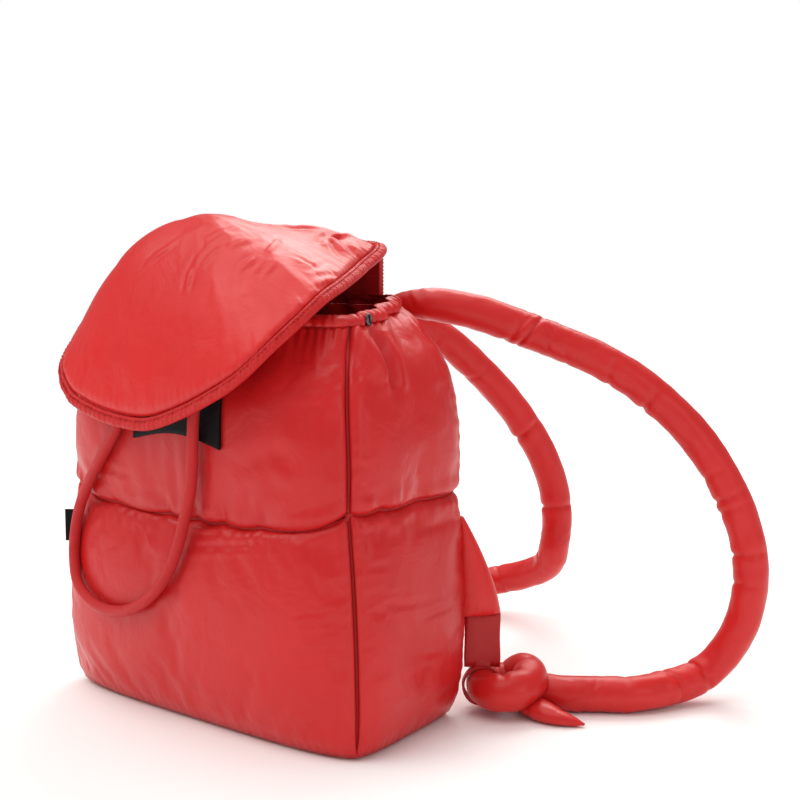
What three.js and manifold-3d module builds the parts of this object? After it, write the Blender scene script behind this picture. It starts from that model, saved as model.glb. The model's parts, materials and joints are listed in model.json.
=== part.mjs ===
// Quilted puffer backpack in millimetres: +Z up, the front faces -Y, the base rests on z = 0.
// The bag is sewn from padded panels, with a padded flap, a drawstring and two knotted tube straps.
import * as THREE from 'three';
import Module from 'manifold-3d';
import { mergeVertices } from 'three/addons/utils/BufferGeometryUtils.js';

const wasm = await Module();
wasm.setup();

// Bag body
const BAG_WIDTH = 280;
const BAG_DEPTH = 116;
const BASE_THICKNESS = 8;
const SEAM_HEIGHT = 160;
const MOUTH_HEIGHT = 276;
const MOUTH_RISE = 9;
const CASING_HEIGHT = 8;
const CASING_WALL = 3.5;
const PANEL_EDGE_WALL = 3;
const PANEL_WALL = 12;
const FRONT_PUFF = 28;
const SIDE_PUFF = 11;
const BACK_PUFF = 10;
const SEAM_SAG = 15;
const GATHER_DEPTH = 3;
const SEAM_GAP = 0.3;
const BASE_ROUNDING = 9;
const FRONT_FOLDS = 6;
const SIDE_FOLDS = 3;

// Flap
const FLAP_HALF_WIDTH = 112;
const FLAP_LENGTH = 170;
const FLAP_DROP = 120;
const FLAP_RISE = 23;
const FLAP_SKEW = 15;
const FLAP_SHIFT = 6;
const FLAP_OVERHANG = 2;
const FLAP_CROWN_SHIFT = 18;
const FLAP_CROWN_SHARE = 0.6;
const FLAP_WALL = 22;
const FLAP_EDGE_WALL = 6;
const BINDING_WIDTH = 9;
const BINDING_THICKNESS = 6;
const BINDING_INSET = 1.5;
const BRIDGE_HEIGHT = 25;
const BRIDGE_WALL = 8;
const BRIDGE_EDGE_WALL = 4.4;
const BRIDGE_SHARE = 0.54;

// Straps, wings and strap loops
const STRAP_DIAMETER = 25;
const STRAP_SIDES = 10;
const STRAP_STEP = 14;
const KNOT_STEP = 7;
const TAIL_STEP = 9;
const RIGHT_STRAP_REACH = 157;
const LEFT_STRAP_REACH = 262;
const KNOT_TURN = THREE.MathUtils.degToRad(40);
const WING_HEIGHT = 70;
const WING_WALL = 15;
const WING_EDGE_WALL = 1.4;
const WING_REACH = 26;
const WING_BACK_REACH = 9.4;
const WING_LIFT = 2;
const LOOP_WIDTH = 25;
const LOOP_DROP = 38;
const LOOP_WALL = 2;
const LOOP_DEPTH = 6;
const LOOP_SLACK = 1.2;

// Drawstring and trim
const CORD_DIAMETER = 8;
const CORD_SIDES = 8;
const CORD_STEPS = 42;
const EYELET_WIDTH = 2;
const EYELET_SLACK = 1.5;
const CORNER_EYELET_RADIUS = 2.4;
const CORNER_EYELET_SHARE = 0.09;
const PATCH_WIDTH = 90;
const PATCH_HEIGHT = 44;
const PATCH_THICKNESS = 2;
const PATCH_OFFSET = 5;
const PATCH_LIFT = 44;
const PATCH_ARCH = 6;
const PATCH_CLEARANCE = 1.2;
const LABEL_HEIGHT = 24;
const LABEL_MIDDLE = 119;
const LABEL_TURN = THREE.MathUtils.degToRad(40);
const LABEL_REACH = 9;
const LABEL_THICKNESS = 1.6;

const HALF_WIDTH = BAG_WIDTH / 2;
const HALF_DEPTH = BAG_DEPTH / 2;
const STRAP_RADIUS = STRAP_DIAMETER / 2;
const CORD_RADIUS = CORD_DIAMETER / 2;

// Plan corners of the body at shares of a tier's height. The corner columns are shares
// of half the width (across) and half the depth (along).
const SECTION_COLUMNS = { height: 0, frontAcross: 1, frontAlong: 2, backAcross: 3, backAlong: 4 };
const LOWER_SECTIONS = [
  [0.0, 0.99, 0.97, 0.9, 0.98],
  [0.08, 1.01, 1.01, 0.935, 1.02],
  [0.2, 1.02, 1.03, 0.95, 1.05],
  [0.5, 1.01, 1.03, 0.95, 1.06],
  [0.75, 0.99, 1.02, 0.94, 1.05],
  [0.93, 0.965, 1.0, 0.925, 1.04],
  [1.0, 0.95, 0.99, 0.91, 1.02],
];
const UPPER_SECTIONS = [
  [0.0, 0.95, 0.99, 0.91, 1.02],
  [0.08, 0.96, 1.0, 0.922, 1.04],
  [0.3, 0.96, 1.0, 0.925, 1.05],
  [0.55, 0.935, 0.96, 0.895, 1.05],
  [0.7, 0.91, 0.9, 0.845, 1.06],
  [0.83, 0.87, 0.78, 0.76, 1.07],
  [0.93, 0.83, 0.65, 0.64, 1.08],
  [1.0, 0.8, 0.55, 0.5, 1.08],
];

// Flap outline on the right half: shares of half width, length and drop.
const FLAP_OUTLINE = [
  { across: 0.53, forward: 0.0, down: 0.0 },
  { across: 0.73, forward: 0.26, down: 0.13 },
  { across: 0.9, forward: 0.5, down: 0.24 },
  { across: 0.99, forward: 0.68, down: 0.345 },
  { across: 1.0, forward: 0.81, down: 0.48 },
  { across: 0.93, forward: 0.93, down: 0.65 },
  { across: 0.75, forward: 0.98, down: 0.8 },
  { across: 0.53, forward: 0.995, down: 0.89 },
  { across: 0.28, forward: 1.0, down: 0.96 },
];

// Strap routes from the back's top edge down to the floor: shares of half the width,
// of the strap's reach behind the back, and of the mouth height.
const RIGHT_STRAP_ROUTE = [
  { across: 0.33, behind: 0.09, up: 1.015, girth: 0.35 },
  { across: 0.44, behind: 0.13, up: 1.03, girth: 0.75 },
  { across: 0.6, behind: 0.18, up: 1.035, girth: 0.95 },
  { across: 0.81, behind: 0.3, up: 1.012, girth: 1 },
  { across: 1.02, behind: 0.43, up: 0.966, girth: 1 },
  { across: 1.32, behind: 0.615, up: 0.89, girth: 1 },
  { across: 1.53, behind: 0.745, up: 0.805, girth: 1 },
  { across: 1.74, behind: 0.875, up: 0.672, girth: 1 },
  { across: 1.9, behind: 0.975, up: 0.489, girth: 1 },
  { across: 1.95, behind: 1.0, up: 0.34, girth: 1 },
  { across: 1.9, behind: 0.975, up: 0.19, girth: 1 },
  { across: 1.76, behind: 0.885, up: 0.075, girth: 1 },
];
const LEFT_STRAP_ROUTE = [
  { across: -0.28, behind: 0.05, up: 1.02, girth: 0.35 },
  { across: -0.24, behind: 0.09, up: 1.03, girth: 0.75 },
  { across: -0.18, behind: 0.17, up: 1.03, girth: 0.95 },
  { across: 0.05, behind: 0.47, up: 0.935, girth: 1 },
  { across: 0.16, behind: 0.6, up: 0.835, girth: 1 },
  { across: 0.28, behind: 0.74, up: 0.685, girth: 1 },
  { across: 0.37, behind: 0.84, up: 0.522, girth: 1 },
  { across: 0.4, behind: 0.88, up: 0.38, girth: 1 },
  { across: 0.39, behind: 0.875, up: 0.26, girth: 1 },
  { across: 0.3, behind: 0.91, up: 0.195, girth: 1 },
  { across: 0.11, behind: 0.93, up: 0.145, girth: 1 },
  { across: -0.1, behind: 0.92, up: 0.11, girth: 1 },
  { across: -0.5, behind: 0.7, up: 0.06, girth: 1 },
];

// Knot at a strap's lower end, in strap diameters from the strap loop's centre:
// outward from the bag, away from the front, and up from the floor.
const KNOT_ROUTE = [
  { out: 4.4, back: -0.05, up: 0.52, girth: 1 },
  { out: 3.3, back: -0.05, up: 0.51, girth: 1 },
  { out: 2.2, back: 0.0, up: 0.52, girth: 1 },
  { out: 1.5, back: 0.3, up: 0.55, girth: 1 },
  { out: 1.0, back: 0.6, up: 0.6, girth: 1 },
  { out: 0.52, back: 0.74, up: 0.68, girth: 0.96 },
  { out: 0.1, back: 0.48, up: 0.74, girth: 0.9 },
  { out: 0.0, back: 0.0, up: 0.76, girth: 0.88 },
  { out: 0.1, back: -0.46, up: 0.76, girth: 0.94 },
  { out: 0.46, back: -0.76, up: 0.75, girth: 1.04 },
  { out: 0.94, back: -0.7, up: 0.8, girth: 1.08 },
  { out: 1.27, back: -0.34, up: 0.92, girth: 1.06 },
  { out: 1.36, back: 0.08, up: 1.02, girth: 1 },
  { out: 1.2, back: 0.52, up: 1.02, girth: 0.98 },
  { out: 0.95, back: 0.84, up: 0.8, girth: 0.9 },
  { out: 0.86, back: 1.0, up: 0.5, girth: 0.8 },
];
const TAIL_ROUTE = [
  { out: 1.3, back: 0.2, up: 0.36, girth: 0.6 },
  { out: 1.34, back: -0.35, up: 0.3, girth: 0.66 },
  { out: 1.62, back: -0.85, up: 0.25, girth: 0.66 },
  { out: 2.1, back: -1.2, up: 0.17, girth: 0.46 },
  { out: 2.75, back: -1.45, up: 0.09, girth: 0.16 },
];
const TAIL_FLATNESS = 0.55;

// Row of the knot where the main tube hands over to the tight turn.
const TURN_START = 4;

// Every fourth ring of the long tube is drawn in by a crease.
const CREASE_SPACING = 4;
const CREASE_GIRTH = 0.92;

// Drawstring route in millimetres, from the left eyelet down over the front and up to the right one.
const DRAWSTRING_ROUTE = [
  [-18.7, -61, 280],
  [-18.7, -65, 280],
  [-18.7, -69, 280],
  [-21, -74.5, 276],
  [-28, -78.5, 265],
  [-33, -85, 247],
  [-42, -91, 221],
  [-55, -90, 200],
  [-72, -88.5, 181],
  [-90, -85, 162],
  [-106, -82, 141],
  [-112, -82, 122],
  [-113, -83, 105],
  [-105, -87, 87],
  [-91, -90, 78],
  [-71, -92, 73],
  [-47, -93, 75],
  [-28, -93, 83],
  [-12, -92.5, 95],
  [1, -91, 112],
  [9, -90, 129],
  [14, -89, 146],
  [21, -90, 164],
  [25, -91, 182],
  [27, -92, 200],
  [28, -91, 224],
  [27, -85, 247],
  [26, -78.5, 265],
  [22, -74.5, 276],
  [18.7, -69, 280],
  [18.7, -65, 280],
  [18.7, -61, 280],
];

const NYLON_FRONT = new THREE.MeshStandardMaterial({ color: 0xc73c3b, roughness: 0.35 });
const NYLON_FLAP = new THREE.MeshStandardMaterial({ color: 0xdf4442, roughness: 0.3 });
const NYLON_STRAP = new THREE.MeshStandardMaterial({ color: 0xd54642, roughness: 0.35 });
const NYLON_BAND = new THREE.MeshStandardMaterial({ color: 0xa82d2e, roughness: 0.5 });
const CORD_FINISH = new THREE.MeshStandardMaterial({ color: 0xa62425, roughness: 0.6 });
const BLACK_TRIM = new THREE.MeshStandardMaterial({ color: 0x151415, roughness: 0.5 });
const DARK_METAL = new THREE.MeshStandardMaterial({ color: 0x3a3a3c, roughness: 0.3, metalness: 0.9 });

const mix = THREE.MathUtils.lerp;
const END_CROWDING = 0.06;
const MITRE_SHARE = 1 / 7;

// Value of one column of a section table at a share of the tier's height.
function tableValue(table, share, column) {
  let row = 1;
  while (row < table.length - 1 && share > table[row][0]) row += 1;
  const low = table[row - 1];
  const high = table[row];
  return mix(low[column], high[column], (share - low[0]) / (high[0] - low[0]));
}

// Even shares moved apart in the middle and together at both ends, where the form turns.
function spreadShare(even) {
  return even - END_CROWDING * Math.sin(2 * Math.PI * even);
}

// Full in the middle and quickly down at both seams.
function puffProfile(share) {
  return (1 - Math.abs(2 * share - 1) ** 4) ** 0.6;
}

// Closed mesh from matching rows of outer and inner points, with the edges walled in.
function shellGeometry(outer, inner) {
  const rows = outer.length;
  const columns = outer[0].length;
  const positions = [];
  for (const grid of [outer, inner]) {
    for (const row of grid) {
      for (const point of row) positions.push(point.x, point.y, point.z);
    }
  }
  const outerAt = (row, column) => row * columns + column;
  const innerAt = (row, column) => rows * columns + row * columns + column;
  const faces = [];
  for (let row = 0; row < rows - 1; row += 1) {
    for (let column = 0; column < columns - 1; column += 1) {
      const a = outerAt(row, column);
      const b = outerAt(row, column + 1);
      const c = outerAt(row + 1, column + 1);
      const d = outerAt(row + 1, column);
      faces.push(a, b, c, a, c, d);
      const offset = rows * columns;
      faces.push(a + offset, c + offset, b + offset, a + offset, d + offset, c + offset);
    }
  }
  const wall = (fromRow, fromColumn, toRow, toColumn) => {
    const a = outerAt(fromRow, fromColumn);
    const b = outerAt(toRow, toColumn);
    const c = innerAt(fromRow, fromColumn);
    const d = innerAt(toRow, toColumn);
    faces.push(b, a, c, b, c, d);
  };
  for (let column = 0; column < columns - 1; column += 1) {
    wall(0, column, 0, column + 1);
    wall(rows - 1, column + 1, rows - 1, column);
  }
  for (let row = 0; row < rows - 1; row += 1) {
    wall(row, columns - 1, row + 1, columns - 1);
    wall(row + 1, 0, row, 0);
  }
  return meshGeometry(positions, faces);
}

// Closed mesh lofted through rings of points. A closed loft joins its last ring to its first.
function loftGeometry(rings, closed = false) {
  const count = rings[0].length;
  const positions = [];
  for (const ring of rings) {
    for (const point of ring) positions.push(point.x, point.y, point.z);
  }
  const faces = [];
  const spans = closed ? rings.length : rings.length - 1;
  for (let span = 0; span < spans; span += 1) {
    const next = (span + 1) % rings.length;
    for (let side = 0; side < count; side += 1) {
      const turn = (side + 1) % count;
      const a = span * count + side;
      const b = span * count + turn;
      const c = next * count + turn;
      const d = next * count + side;
      faces.push(a, b, c, a, c, d);
    }
  }
  if (!closed) {
    const last = (rings.length - 1) * count;
    for (const [start, flip] of [[0, true], [last, false]]) {
      const centre = new THREE.Vector3();
      const ring = rings[start === 0 ? 0 : rings.length - 1];
      ring.forEach((point) => centre.addScaledVector(point, 1 / count));
      const hub = positions.length / 3;
      positions.push(centre.x, centre.y, centre.z);
      for (let side = 0; side < count; side += 1) {
        const a = start + side;
        const b = start + ((side + 1) % count);
        if (flip) faces.push(hub, b, a);
        else faces.push(hub, a, b);
      }
    }
  }
  return meshGeometry(positions, faces);
}

function meshGeometry(positions, faces) {
  const geometry = new THREE.BufferGeometry();
  geometry.setAttribute('position', new THREE.Float32BufferAttribute(positions, 3));
  geometry.setIndex(faces);
  geometry.computeVertexNormals();
  return geometry;
}

// Mirror image in the bag's middle plane, with its faces turned to point out again.
function mirrored(geometry) {
  const copy = geometry.clone();
  copy.scale(-1, 1, 1);
  const index = copy.getIndex().array.slice();
  for (let face = 0; face < index.length; face += 3) {
    [index[face + 1], index[face + 2]] = [index[face + 2], index[face + 1]];
  }
  copy.setIndex([...index]);
  copy.computeVertexNormals();
  return copy;
}

function toSolid(geometry) {
  const bare = geometry.clone();
  bare.deleteAttribute('normal');
  bare.deleteAttribute('uv');
  const merged = mergeVertices(bare, 1e-4);
  return new wasm.Manifold(new wasm.Mesh({
    numProp: 3,
    vertProperties: new Float32Array(merged.getAttribute('position').array),
    triVerts: new Uint32Array(merged.getIndex().array),
  }));
}

function fromSolid(solid) {
  const mesh = solid.getMesh();
  return meshGeometry([...mesh.vertProperties], [...mesh.triVerts]);
}

// The four faces run counterclockwise seen from above, each from its first corner to its second.
const FACES = {
  front: { from: 'frontLeft', to: 'frontRight', puff: FRONT_PUFF, columns: 18 },
  right: { from: 'frontRight', to: 'backRight', puff: SIDE_PUFF, columns: 10 },
  back: { from: 'backRight', to: 'backLeft', puff: BACK_PUFF, columns: 14 },
  left: { from: 'backLeft', to: 'frontLeft', puff: SIDE_PUFF, columns: 10 },
};
const PANEL_ROWS = 7;

function cornersAt(tier, share) {
  const value = (name) => tableValue(tier.sections, share, SECTION_COLUMNS[name]);
  const frontAcross = value('frontAcross') * HALF_WIDTH;
  const frontAlong = -value('frontAlong') * HALF_DEPTH;
  const backAcross = value('backAcross') * HALF_WIDTH;
  const backAlong = value('backAlong') * HALF_DEPTH;
  return {
    frontLeft: new THREE.Vector2(-frontAcross, frontAlong),
    frontRight: new THREE.Vector2(frontAcross, frontAlong),
    backRight: new THREE.Vector2(backAcross, backAlong),
    backLeft: new THREE.Vector2(-backAcross, backAlong),
  };
}

const LOWER_TIER = {
  name: 'lower',
  sections: LOWER_SECTIONS,
  bottom: BASE_THICKNESS,
  top: SEAM_HEIGHT,
  rise: 0,
  bottomPuff: 0.55,
  topPuff: 0.76,
  gather: 0,
};
const UPPER_TIER = {
  name: 'upper',
  sections: UPPER_SECTIONS,
  bottom: SEAM_HEIGHT,
  top: MOUTH_HEIGHT,
  rise: MOUTH_RISE,
  bottomPuff: 0.76,
  topPuff: 0.95,
  gather: GATHER_DEPTH,
};

// How far along the bag's depth a place on a face lies: 0 at the front, 1 at the back.
function backShare(faceName, across) {
  if (faceName === 'front') return 0;
  if (faceName === 'back') return 1;
  return faceName === 'right' ? across : 1 - across;
}

// A point of the body's outer surface: across a face, and up a tier, both as shares.
function surfacePoint(faceName, tier, across, up) {
  const face = FACES[faceName];
  const corners = cornersAt(tier, up);
  const start = corners[face.from];
  const end = corners[face.to];
  const chord = end.clone().sub(start).normalize();
  const outward = new THREE.Vector2(chord.y, -chord.x);
  const edgePuff = mix(tier.bottomPuff, tier.topPuff, up);
  const rounding = Math.sin(Math.PI * Math.min(Math.max(up, 0), 1)) ** 0.7;
  const isBack = faceName === 'back';
  const fullness = isBack ? mix(0.5 * (1 - up), 1, rounding) : mix(edgePuff, 1, rounding);
  const depth = backShare(faceName, across);
  const lean = faceName === 'right' || faceName === 'left' ? 1.25 - 0.5 * depth : 1;
  let bulge = face.puff * fullness * lean * puffProfile(across);
  const folds = faceName === 'front' || isBack ? FRONT_FOLDS : SIDE_FOLDS;
  bulge += tier.gather * Math.cos(2 * Math.PI * folds * across) * up ** 4 * puffProfile(across);
  const point = start.clone().lerp(end, across).addScaledVector(outward, bulge);
  const sag = faceName === 'front' ? SEAM_SAG * puffProfile(across) : 0;
  const seamShare = tier === LOWER_TIER ? up : 1 - up;
  const height = mix(tier.bottom, tier.top, up) + tier.rise * up ** 2 * depth - sag * seamShare ** 1.5;
  return { point: new THREE.Vector3(point.x, point.y, height), outward };
}

// Padded panel between seams: thin where it is sewn, thick in the middle, mitred at its corners.
function panelGeometry(faceName, tier) {
  const face = FACES[faceName];
  const width = faceName === 'front' || faceName === 'back' ? BAG_WIDTH : BAG_DEPTH;
  const trim = SEAM_GAP / width;
  const rowTrim = SEAM_GAP / 2 / (tier.top - tier.bottom);
  const outer = [];
  const inner = [];
  for (let row = 0; row <= PANEL_ROWS; row += 1) {
    const up = mix(rowTrim, tier === UPPER_TIER ? 1 : 1 - rowTrim, row / PANEL_ROWS);
    const outerRow = [];
    const innerRow = [];
    for (let column = 0; column <= face.columns; column += 1) {
      const even = column / face.columns;
      const spread = spreadShare(even);
      const across = mix(trim, 1 - trim, spread);
      const { point, outward } = surfacePoint(faceName, tier, across, up);
      const middle = puffProfile(spread) * puffProfile(mix(0.02, 0.98, row / PANEL_ROWS));
      const wall = mix(PANEL_EDGE_WALL, PANEL_WALL, middle);
      const mitre = Math.max(0, 1 - spread / MITRE_SHARE) - Math.max(0, 1 - (1 - spread) / MITRE_SHARE);
      const inward = new THREE.Vector3(-outward.x, -outward.y, 0);
      inward.addScaledVector(new THREE.Vector3(-outward.y, outward.x, 0), mitre);
      outerRow.push(point);
      innerRow.push(point.clone().addScaledVector(inward, wall));
    }
    outer.push(outerRow);
    inner.push(innerRow);
  }
  return shellGeometry(outer, inner);
}

// Points right round the body at one height, without doubled corners.
function outlineRing(tier, up) {
  const ring = [];
  for (const [faceName, face] of Object.entries(FACES)) {
    const count = face.columns;
    for (let step = 0; step < count; step += 1) {
      ring.push(surfacePoint(faceName, tier, spreadShare(step / count), up).point);
    }
  }
  return ring;
}

function insetRing(ring, distance, height) {
  return ring.map((point, index) => {
    const before = ring[(index + ring.length - 1) % ring.length];
    const after = ring[(index + 1) % ring.length];
    const along = new THREE.Vector2(after.x - before.x, after.y - before.y).normalize();
    return new THREE.Vector3(point.x - along.y * distance, point.y + along.x * distance, height);
  });
}

// Base panel: flat under the bag and rounded up to the lower seam.
function baseGeometry() {
  const outline = outlineRing(LOWER_TIER, 0);
  return loftGeometry([
    insetRing(outline, BASE_ROUNDING, 0),
    insetRing(outline, BASE_ROUNDING / 3, BASE_THICKNESS * 0.2),
    insetRing(outline, 2 * SEAM_GAP, BASE_THICKNESS * 0.6),
    insetRing(outline, 3 * SEAM_GAP, BASE_THICKNESS - SEAM_GAP),
  ]);
}

// Casing round the mouth that the drawstring runs in.
function casingGeometry() {
  const rim = outlineRing(UPPER_TIER, 1);
  const lifted = (ring, lift) => ring.map((point) => new THREE.Vector3(point.x, point.y, point.z + lift));
  const keepHeight = (inset) => insetRing(rim, inset, 0).map((point, index) => {
    point.z = rim[index].z;
    return point;
  });
  return loftGeometry([
    lifted(keepHeight(0.4), SEAM_GAP),
    lifted(keepHeight(0), CASING_HEIGHT * 0.5),
    lifted(keepHeight(0.8), CASING_HEIGHT),
    lifted(keepHeight(CASING_WALL), CASING_HEIGHT),
    lifted(keepHeight(CASING_WALL), SEAM_GAP),
  ], true);
}

const MOUTH_CORNERS = cornersAt(UPPER_TIER, 1);
const FLAP_BACK_Y = MOUTH_CORNERS.backRight.y + FLAP_OVERHANG;
const BRIDGE_TOP = MOUTH_HEIGHT + MOUTH_RISE + CASING_HEIGHT + BRIDGE_HEIGHT;
const FLAP_BACK_Z = BRIDGE_TOP + FLAP_EDGE_WALL + FLAP_OVERHANG;
const FLAP_SEGMENTS = 44;
const FLAP_CENTRE = new THREE.Vector3(
  -FLAP_CROWN_SHIFT,
  FLAP_BACK_Y - FLAP_LENGTH * FLAP_CROWN_SHARE,
  FLAP_BACK_Z + FLAP_RISE,
);

function flapOutline() {
  const place = (row, side) => {
    const skew = FLAP_SKEW * side * row.across * row.forward ** 2;
    return new THREE.Vector3(
      side * row.across * FLAP_HALF_WIDTH - FLAP_SHIFT * row.forward ** 2,
      FLAP_BACK_Y - row.forward * FLAP_LENGTH,
      FLAP_BACK_Z - row.down * FLAP_DROP + skew,
    );
  };
  const right = FLAP_OUTLINE.map((row) => place(row, 1));
  const left = FLAP_OUTLINE.map((row) => place(row, -1)).reverse();
  const tip = place({ across: 0, forward: 1, down: 1 }, 1);
  const hinge = place({ across: 0, forward: 0, down: 0 }, 1);
  const curve = new THREE.CatmullRomCurve3([hinge, ...right, tip, ...left], true, 'centripetal');
  return curve.getSpacedPoints(FLAP_SEGMENTS).slice(0, FLAP_SEGMENTS).reverse();
}

// A point of the flap's dome between its crown (0) and a place on its outline (1).
function domePoint(edge, share) {
  const angle = share * Math.PI / 2;
  const steepness = (FLAP_CENTRE.z - edge.z) / (FLAP_DROP + FLAP_RISE);
  const roundness = mix(1.8, 1.05, steepness);
  const reach = Math.sin(angle) ** roundness;
  const height = Math.cos(angle) ** roundness;
  const swell = 1 + 0.02 * Math.sin(2 * angle) * steepness;
  return new THREE.Vector3(
    mix(FLAP_CENTRE.x, edge.x, reach * swell),
    mix(FLAP_CENTRE.y, edge.y, reach * swell),
    mix(edge.z, FLAP_CENTRE.z, height),
  );
}

// Share at which the dome lies a given distance short of the outline.
function shareBeforeEdge(edge, distance) {
  let share = 1;
  while (domePoint(edge, share).distanceTo(edge) < distance) share -= 0.002;
  return share;
}

function domeNormal(outline, index, share) {
  const step = 0.01;
  const edge = outline[index];
  const next = outline[(index + 1) % outline.length];
  const before = outline[(index + outline.length - 1) % outline.length];
  const radial = domePoint(edge, Math.min(share + step, 1)).sub(domePoint(edge, share - step));
  const around = domePoint(next, share).sub(domePoint(before, share));
  return radial.cross(around).normalize();
}

const FLAP_RINGS = [0.12, 0.26, 0.4, 0.54, 0.67, 0.79, 0.9, 1];

// Padded flap: a dome with an outer and an inner skin that meet at the binding.
function flapGeometry() {
  const outline = flapOutline();
  const skinRing = (level, inside) => outline.map((edge, index) => {
    const share = level * shareBeforeEdge(edge, BINDING_WIDTH + 2 * SEAM_GAP);
    const point = domePoint(edge, share);
    if (!inside) return point;
    const wall = mix(FLAP_WALL, FLAP_EDGE_WALL, level ** 2.5);
    return point.addScaledVector(domeNormal(outline, index, share), -wall);
  });
  const outside = [...FLAP_RINGS].reverse().map((level) => skinRing(level, false));
  const inside = FLAP_RINGS.map((level) => skinRing(level, true));
  return loftGeometry([...inside, ...outside]);
}

// Bound edge round the flap, a flat roll outside the padding.
function bindingGeometry() {
  const outline = flapOutline();
  const section = [[1, -0.35], [0.5, -1], [-0.9, -0.85], [-0.9, 0.85], [0.5, 1], [1, 0.35]];
  const rings = outline.map((edge, index) => {
    const share = shareBeforeEdge(edge, BINDING_WIDTH / 2);
    const centre = domePoint(edge, share);
    const normal = domeNormal(outline, index, share);
    const down = edge.clone().sub(domePoint(edge, shareBeforeEdge(edge, BINDING_WIDTH))).normalize();
    return section.map(([along, through]) => centre.clone()
      .addScaledVector(down, along * BINDING_WIDTH / 2)
      .addScaledVector(normal, through * BINDING_THICKNESS / 2 - BINDING_INSET));
  });
  return loftGeometry(rings, true);
}

// Upright panel that carries the flap above the back of the mouth.
function bridgeGeometry() {
  const bottom = MOUTH_HEIGHT + MOUTH_RISE + CASING_HEIGHT + SEAM_GAP;
  const width = 2 * BRIDGE_SHARE * FLAP_HALF_WIDTH;
  const back = MOUTH_CORNERS.backRight.y;
  const outer = [];
  const inner = [];
  for (let row = 0; row <= 4; row += 1) {
    const up = row / 4;
    const outerRow = [];
    const innerRow = [];
    for (let column = 0; column <= 8; column += 1) {
      const across = column / 8;
      const wall = mix(BRIDGE_EDGE_WALL, BRIDGE_WALL, puffProfile(across) * puffProfile(mix(0.05, 0.95, up)));
      const x = width * (0.5 - across);
      const z = bottom + BRIDGE_HEIGHT * up;
      outerRow.push(new THREE.Vector3(x, back - BRIDGE_WALL / 2 + wall / 2, z));
      innerRow.push(new THREE.Vector3(x, back - BRIDGE_WALL / 2 - wall / 2, z));
    }
    outer.push(outerRow);
    inner.push(innerRow);
  }
  return shellGeometry(outer, inner);
}

// Frame at a strap loop: outward from the bag and away from the front.
const KNOT_OUT = new THREE.Vector3(Math.cos(KNOT_TURN), Math.sin(KNOT_TURN), 0);
const KNOT_BACK = new THREE.Vector3(-Math.sin(KNOT_TURN), Math.cos(KNOT_TURN), 0);
const FULL_CORNERS = cornersAt(LOWER_TIER, 0.5);
const BACK_CORNER = new THREE.Vector3(FULL_CORNERS.backRight.x, FULL_CORNERS.backRight.y, 0);
const LOOP_CENTRE = BACK_CORNER.clone()
  .addScaledVector(KNOT_OUT, WING_REACH - LOOP_WIDTH / 2)
  .addScaledVector(KNOT_BACK, WING_BACK_REACH);
// The turn that the loop holds, as written in the middle row of the knot.
const HELD_HEIGHT = 0.76 * STRAP_DIAMETER;
const HELD_RADIUS = 0.88 * STRAP_RADIUS;
const WING_BOTTOM = HELD_HEIGHT + STRAP_RADIUS + LOOP_DROP + WING_LIFT;

function knotPoint(row) {
  return LOOP_CENTRE.clone()
    .addScaledVector(KNOT_OUT, row.out * STRAP_DIAMETER)
    .addScaledVector(KNOT_BACK, row.back * STRAP_DIAMETER)
    .setZ(row.up * STRAP_DIAMETER);
}

// Tube through points with a girth at each, pinched by small creases at even distances.
function tubeGeometry(points, girths, radius, stepLength, creaseSpacing, flatness = 1) {
  const curve = new THREE.CatmullRomCurve3(points, false, 'centripetal');
  const length = curve.getLength();
  const steps = Math.max(8, Math.round(length / stepLength));
  const frames = curve.computeFrenetFrames(steps, false);
  const rings = [];
  for (let step = 0; step <= steps; step += 1) {
    const share = step / steps;
    const centre = curve.getPointAt(share);
    const place = curve.getUtoTmapping(share) * (points.length - 1);
    const low = Math.min(Math.floor(place), points.length - 2);
    const girth = mix(girths[low], girths[low + 1], place - low);
    const crease = creaseSpacing > 0 && step % creaseSpacing === creaseSpacing - 1 ? CREASE_GIRTH : 1;
    const ends = Math.min(1, 0.55 + Math.min(step, steps - step) * 0.35);
    const size = radius * girth * crease * ends;
    const ring = [];
    for (let side = 0; side < STRAP_SIDES; side += 1) {
      const angle = side / STRAP_SIDES * 2 * Math.PI;
      const offset = frames.normals[step].clone().multiplyScalar(Math.cos(angle) * size)
        .addScaledVector(frames.binormals[step], Math.sin(angle) * size);
      offset.z *= flatness;
      ring.push(centre.clone().add(offset));
    }
    rings.push(ring);
  }
  return loftGeometry(rings);
}

function strapRoutePoint(row, reach) {
  return new THREE.Vector3(row.across * HALF_WIDTH, HALF_DEPTH + row.behind * reach, row.up * MOUTH_HEIGHT);
}

// Padded tube strap with its knot and flat tail, joined into one solid.
function strapGeometry(route, reach, side) {
  const sided = (point) => new THREE.Vector3(point.x * side, point.y, point.z);
  const knot = KNOT_ROUTE.map((row) => sided(knotPoint(row)));
  const upper = route.map((row) => strapRoutePoint(row, reach));
  const mainPoints = [...upper, ...knot.slice(0, TURN_START + 2)];
  const mainGirths = [...route, ...KNOT_ROUTE.slice(0, TURN_START + 2)].map((row) => row.girth);
  const turnPoints = knot.slice(TURN_START);
  const turnGirths = KNOT_ROUTE.slice(TURN_START).map((row) => row.girth);
  const tailPoints = TAIL_ROUTE.map((row) => sided(knotPoint(row)));
  const tailGirths = TAIL_ROUTE.map((row) => row.girth);
  const main = tubeGeometry(mainPoints, mainGirths, STRAP_RADIUS, STRAP_STEP, CREASE_SPACING);
  const turn = tubeGeometry(turnPoints, turnGirths, STRAP_RADIUS, KNOT_STEP, 0);
  const tail = tubeGeometry(tailPoints, tailGirths, STRAP_RADIUS, TAIL_STEP, 0, TAIL_FLATNESS);
  return fromSolid(toSolid(main).add(toSolid(turn)).add(toSolid(tail)));
}

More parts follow.
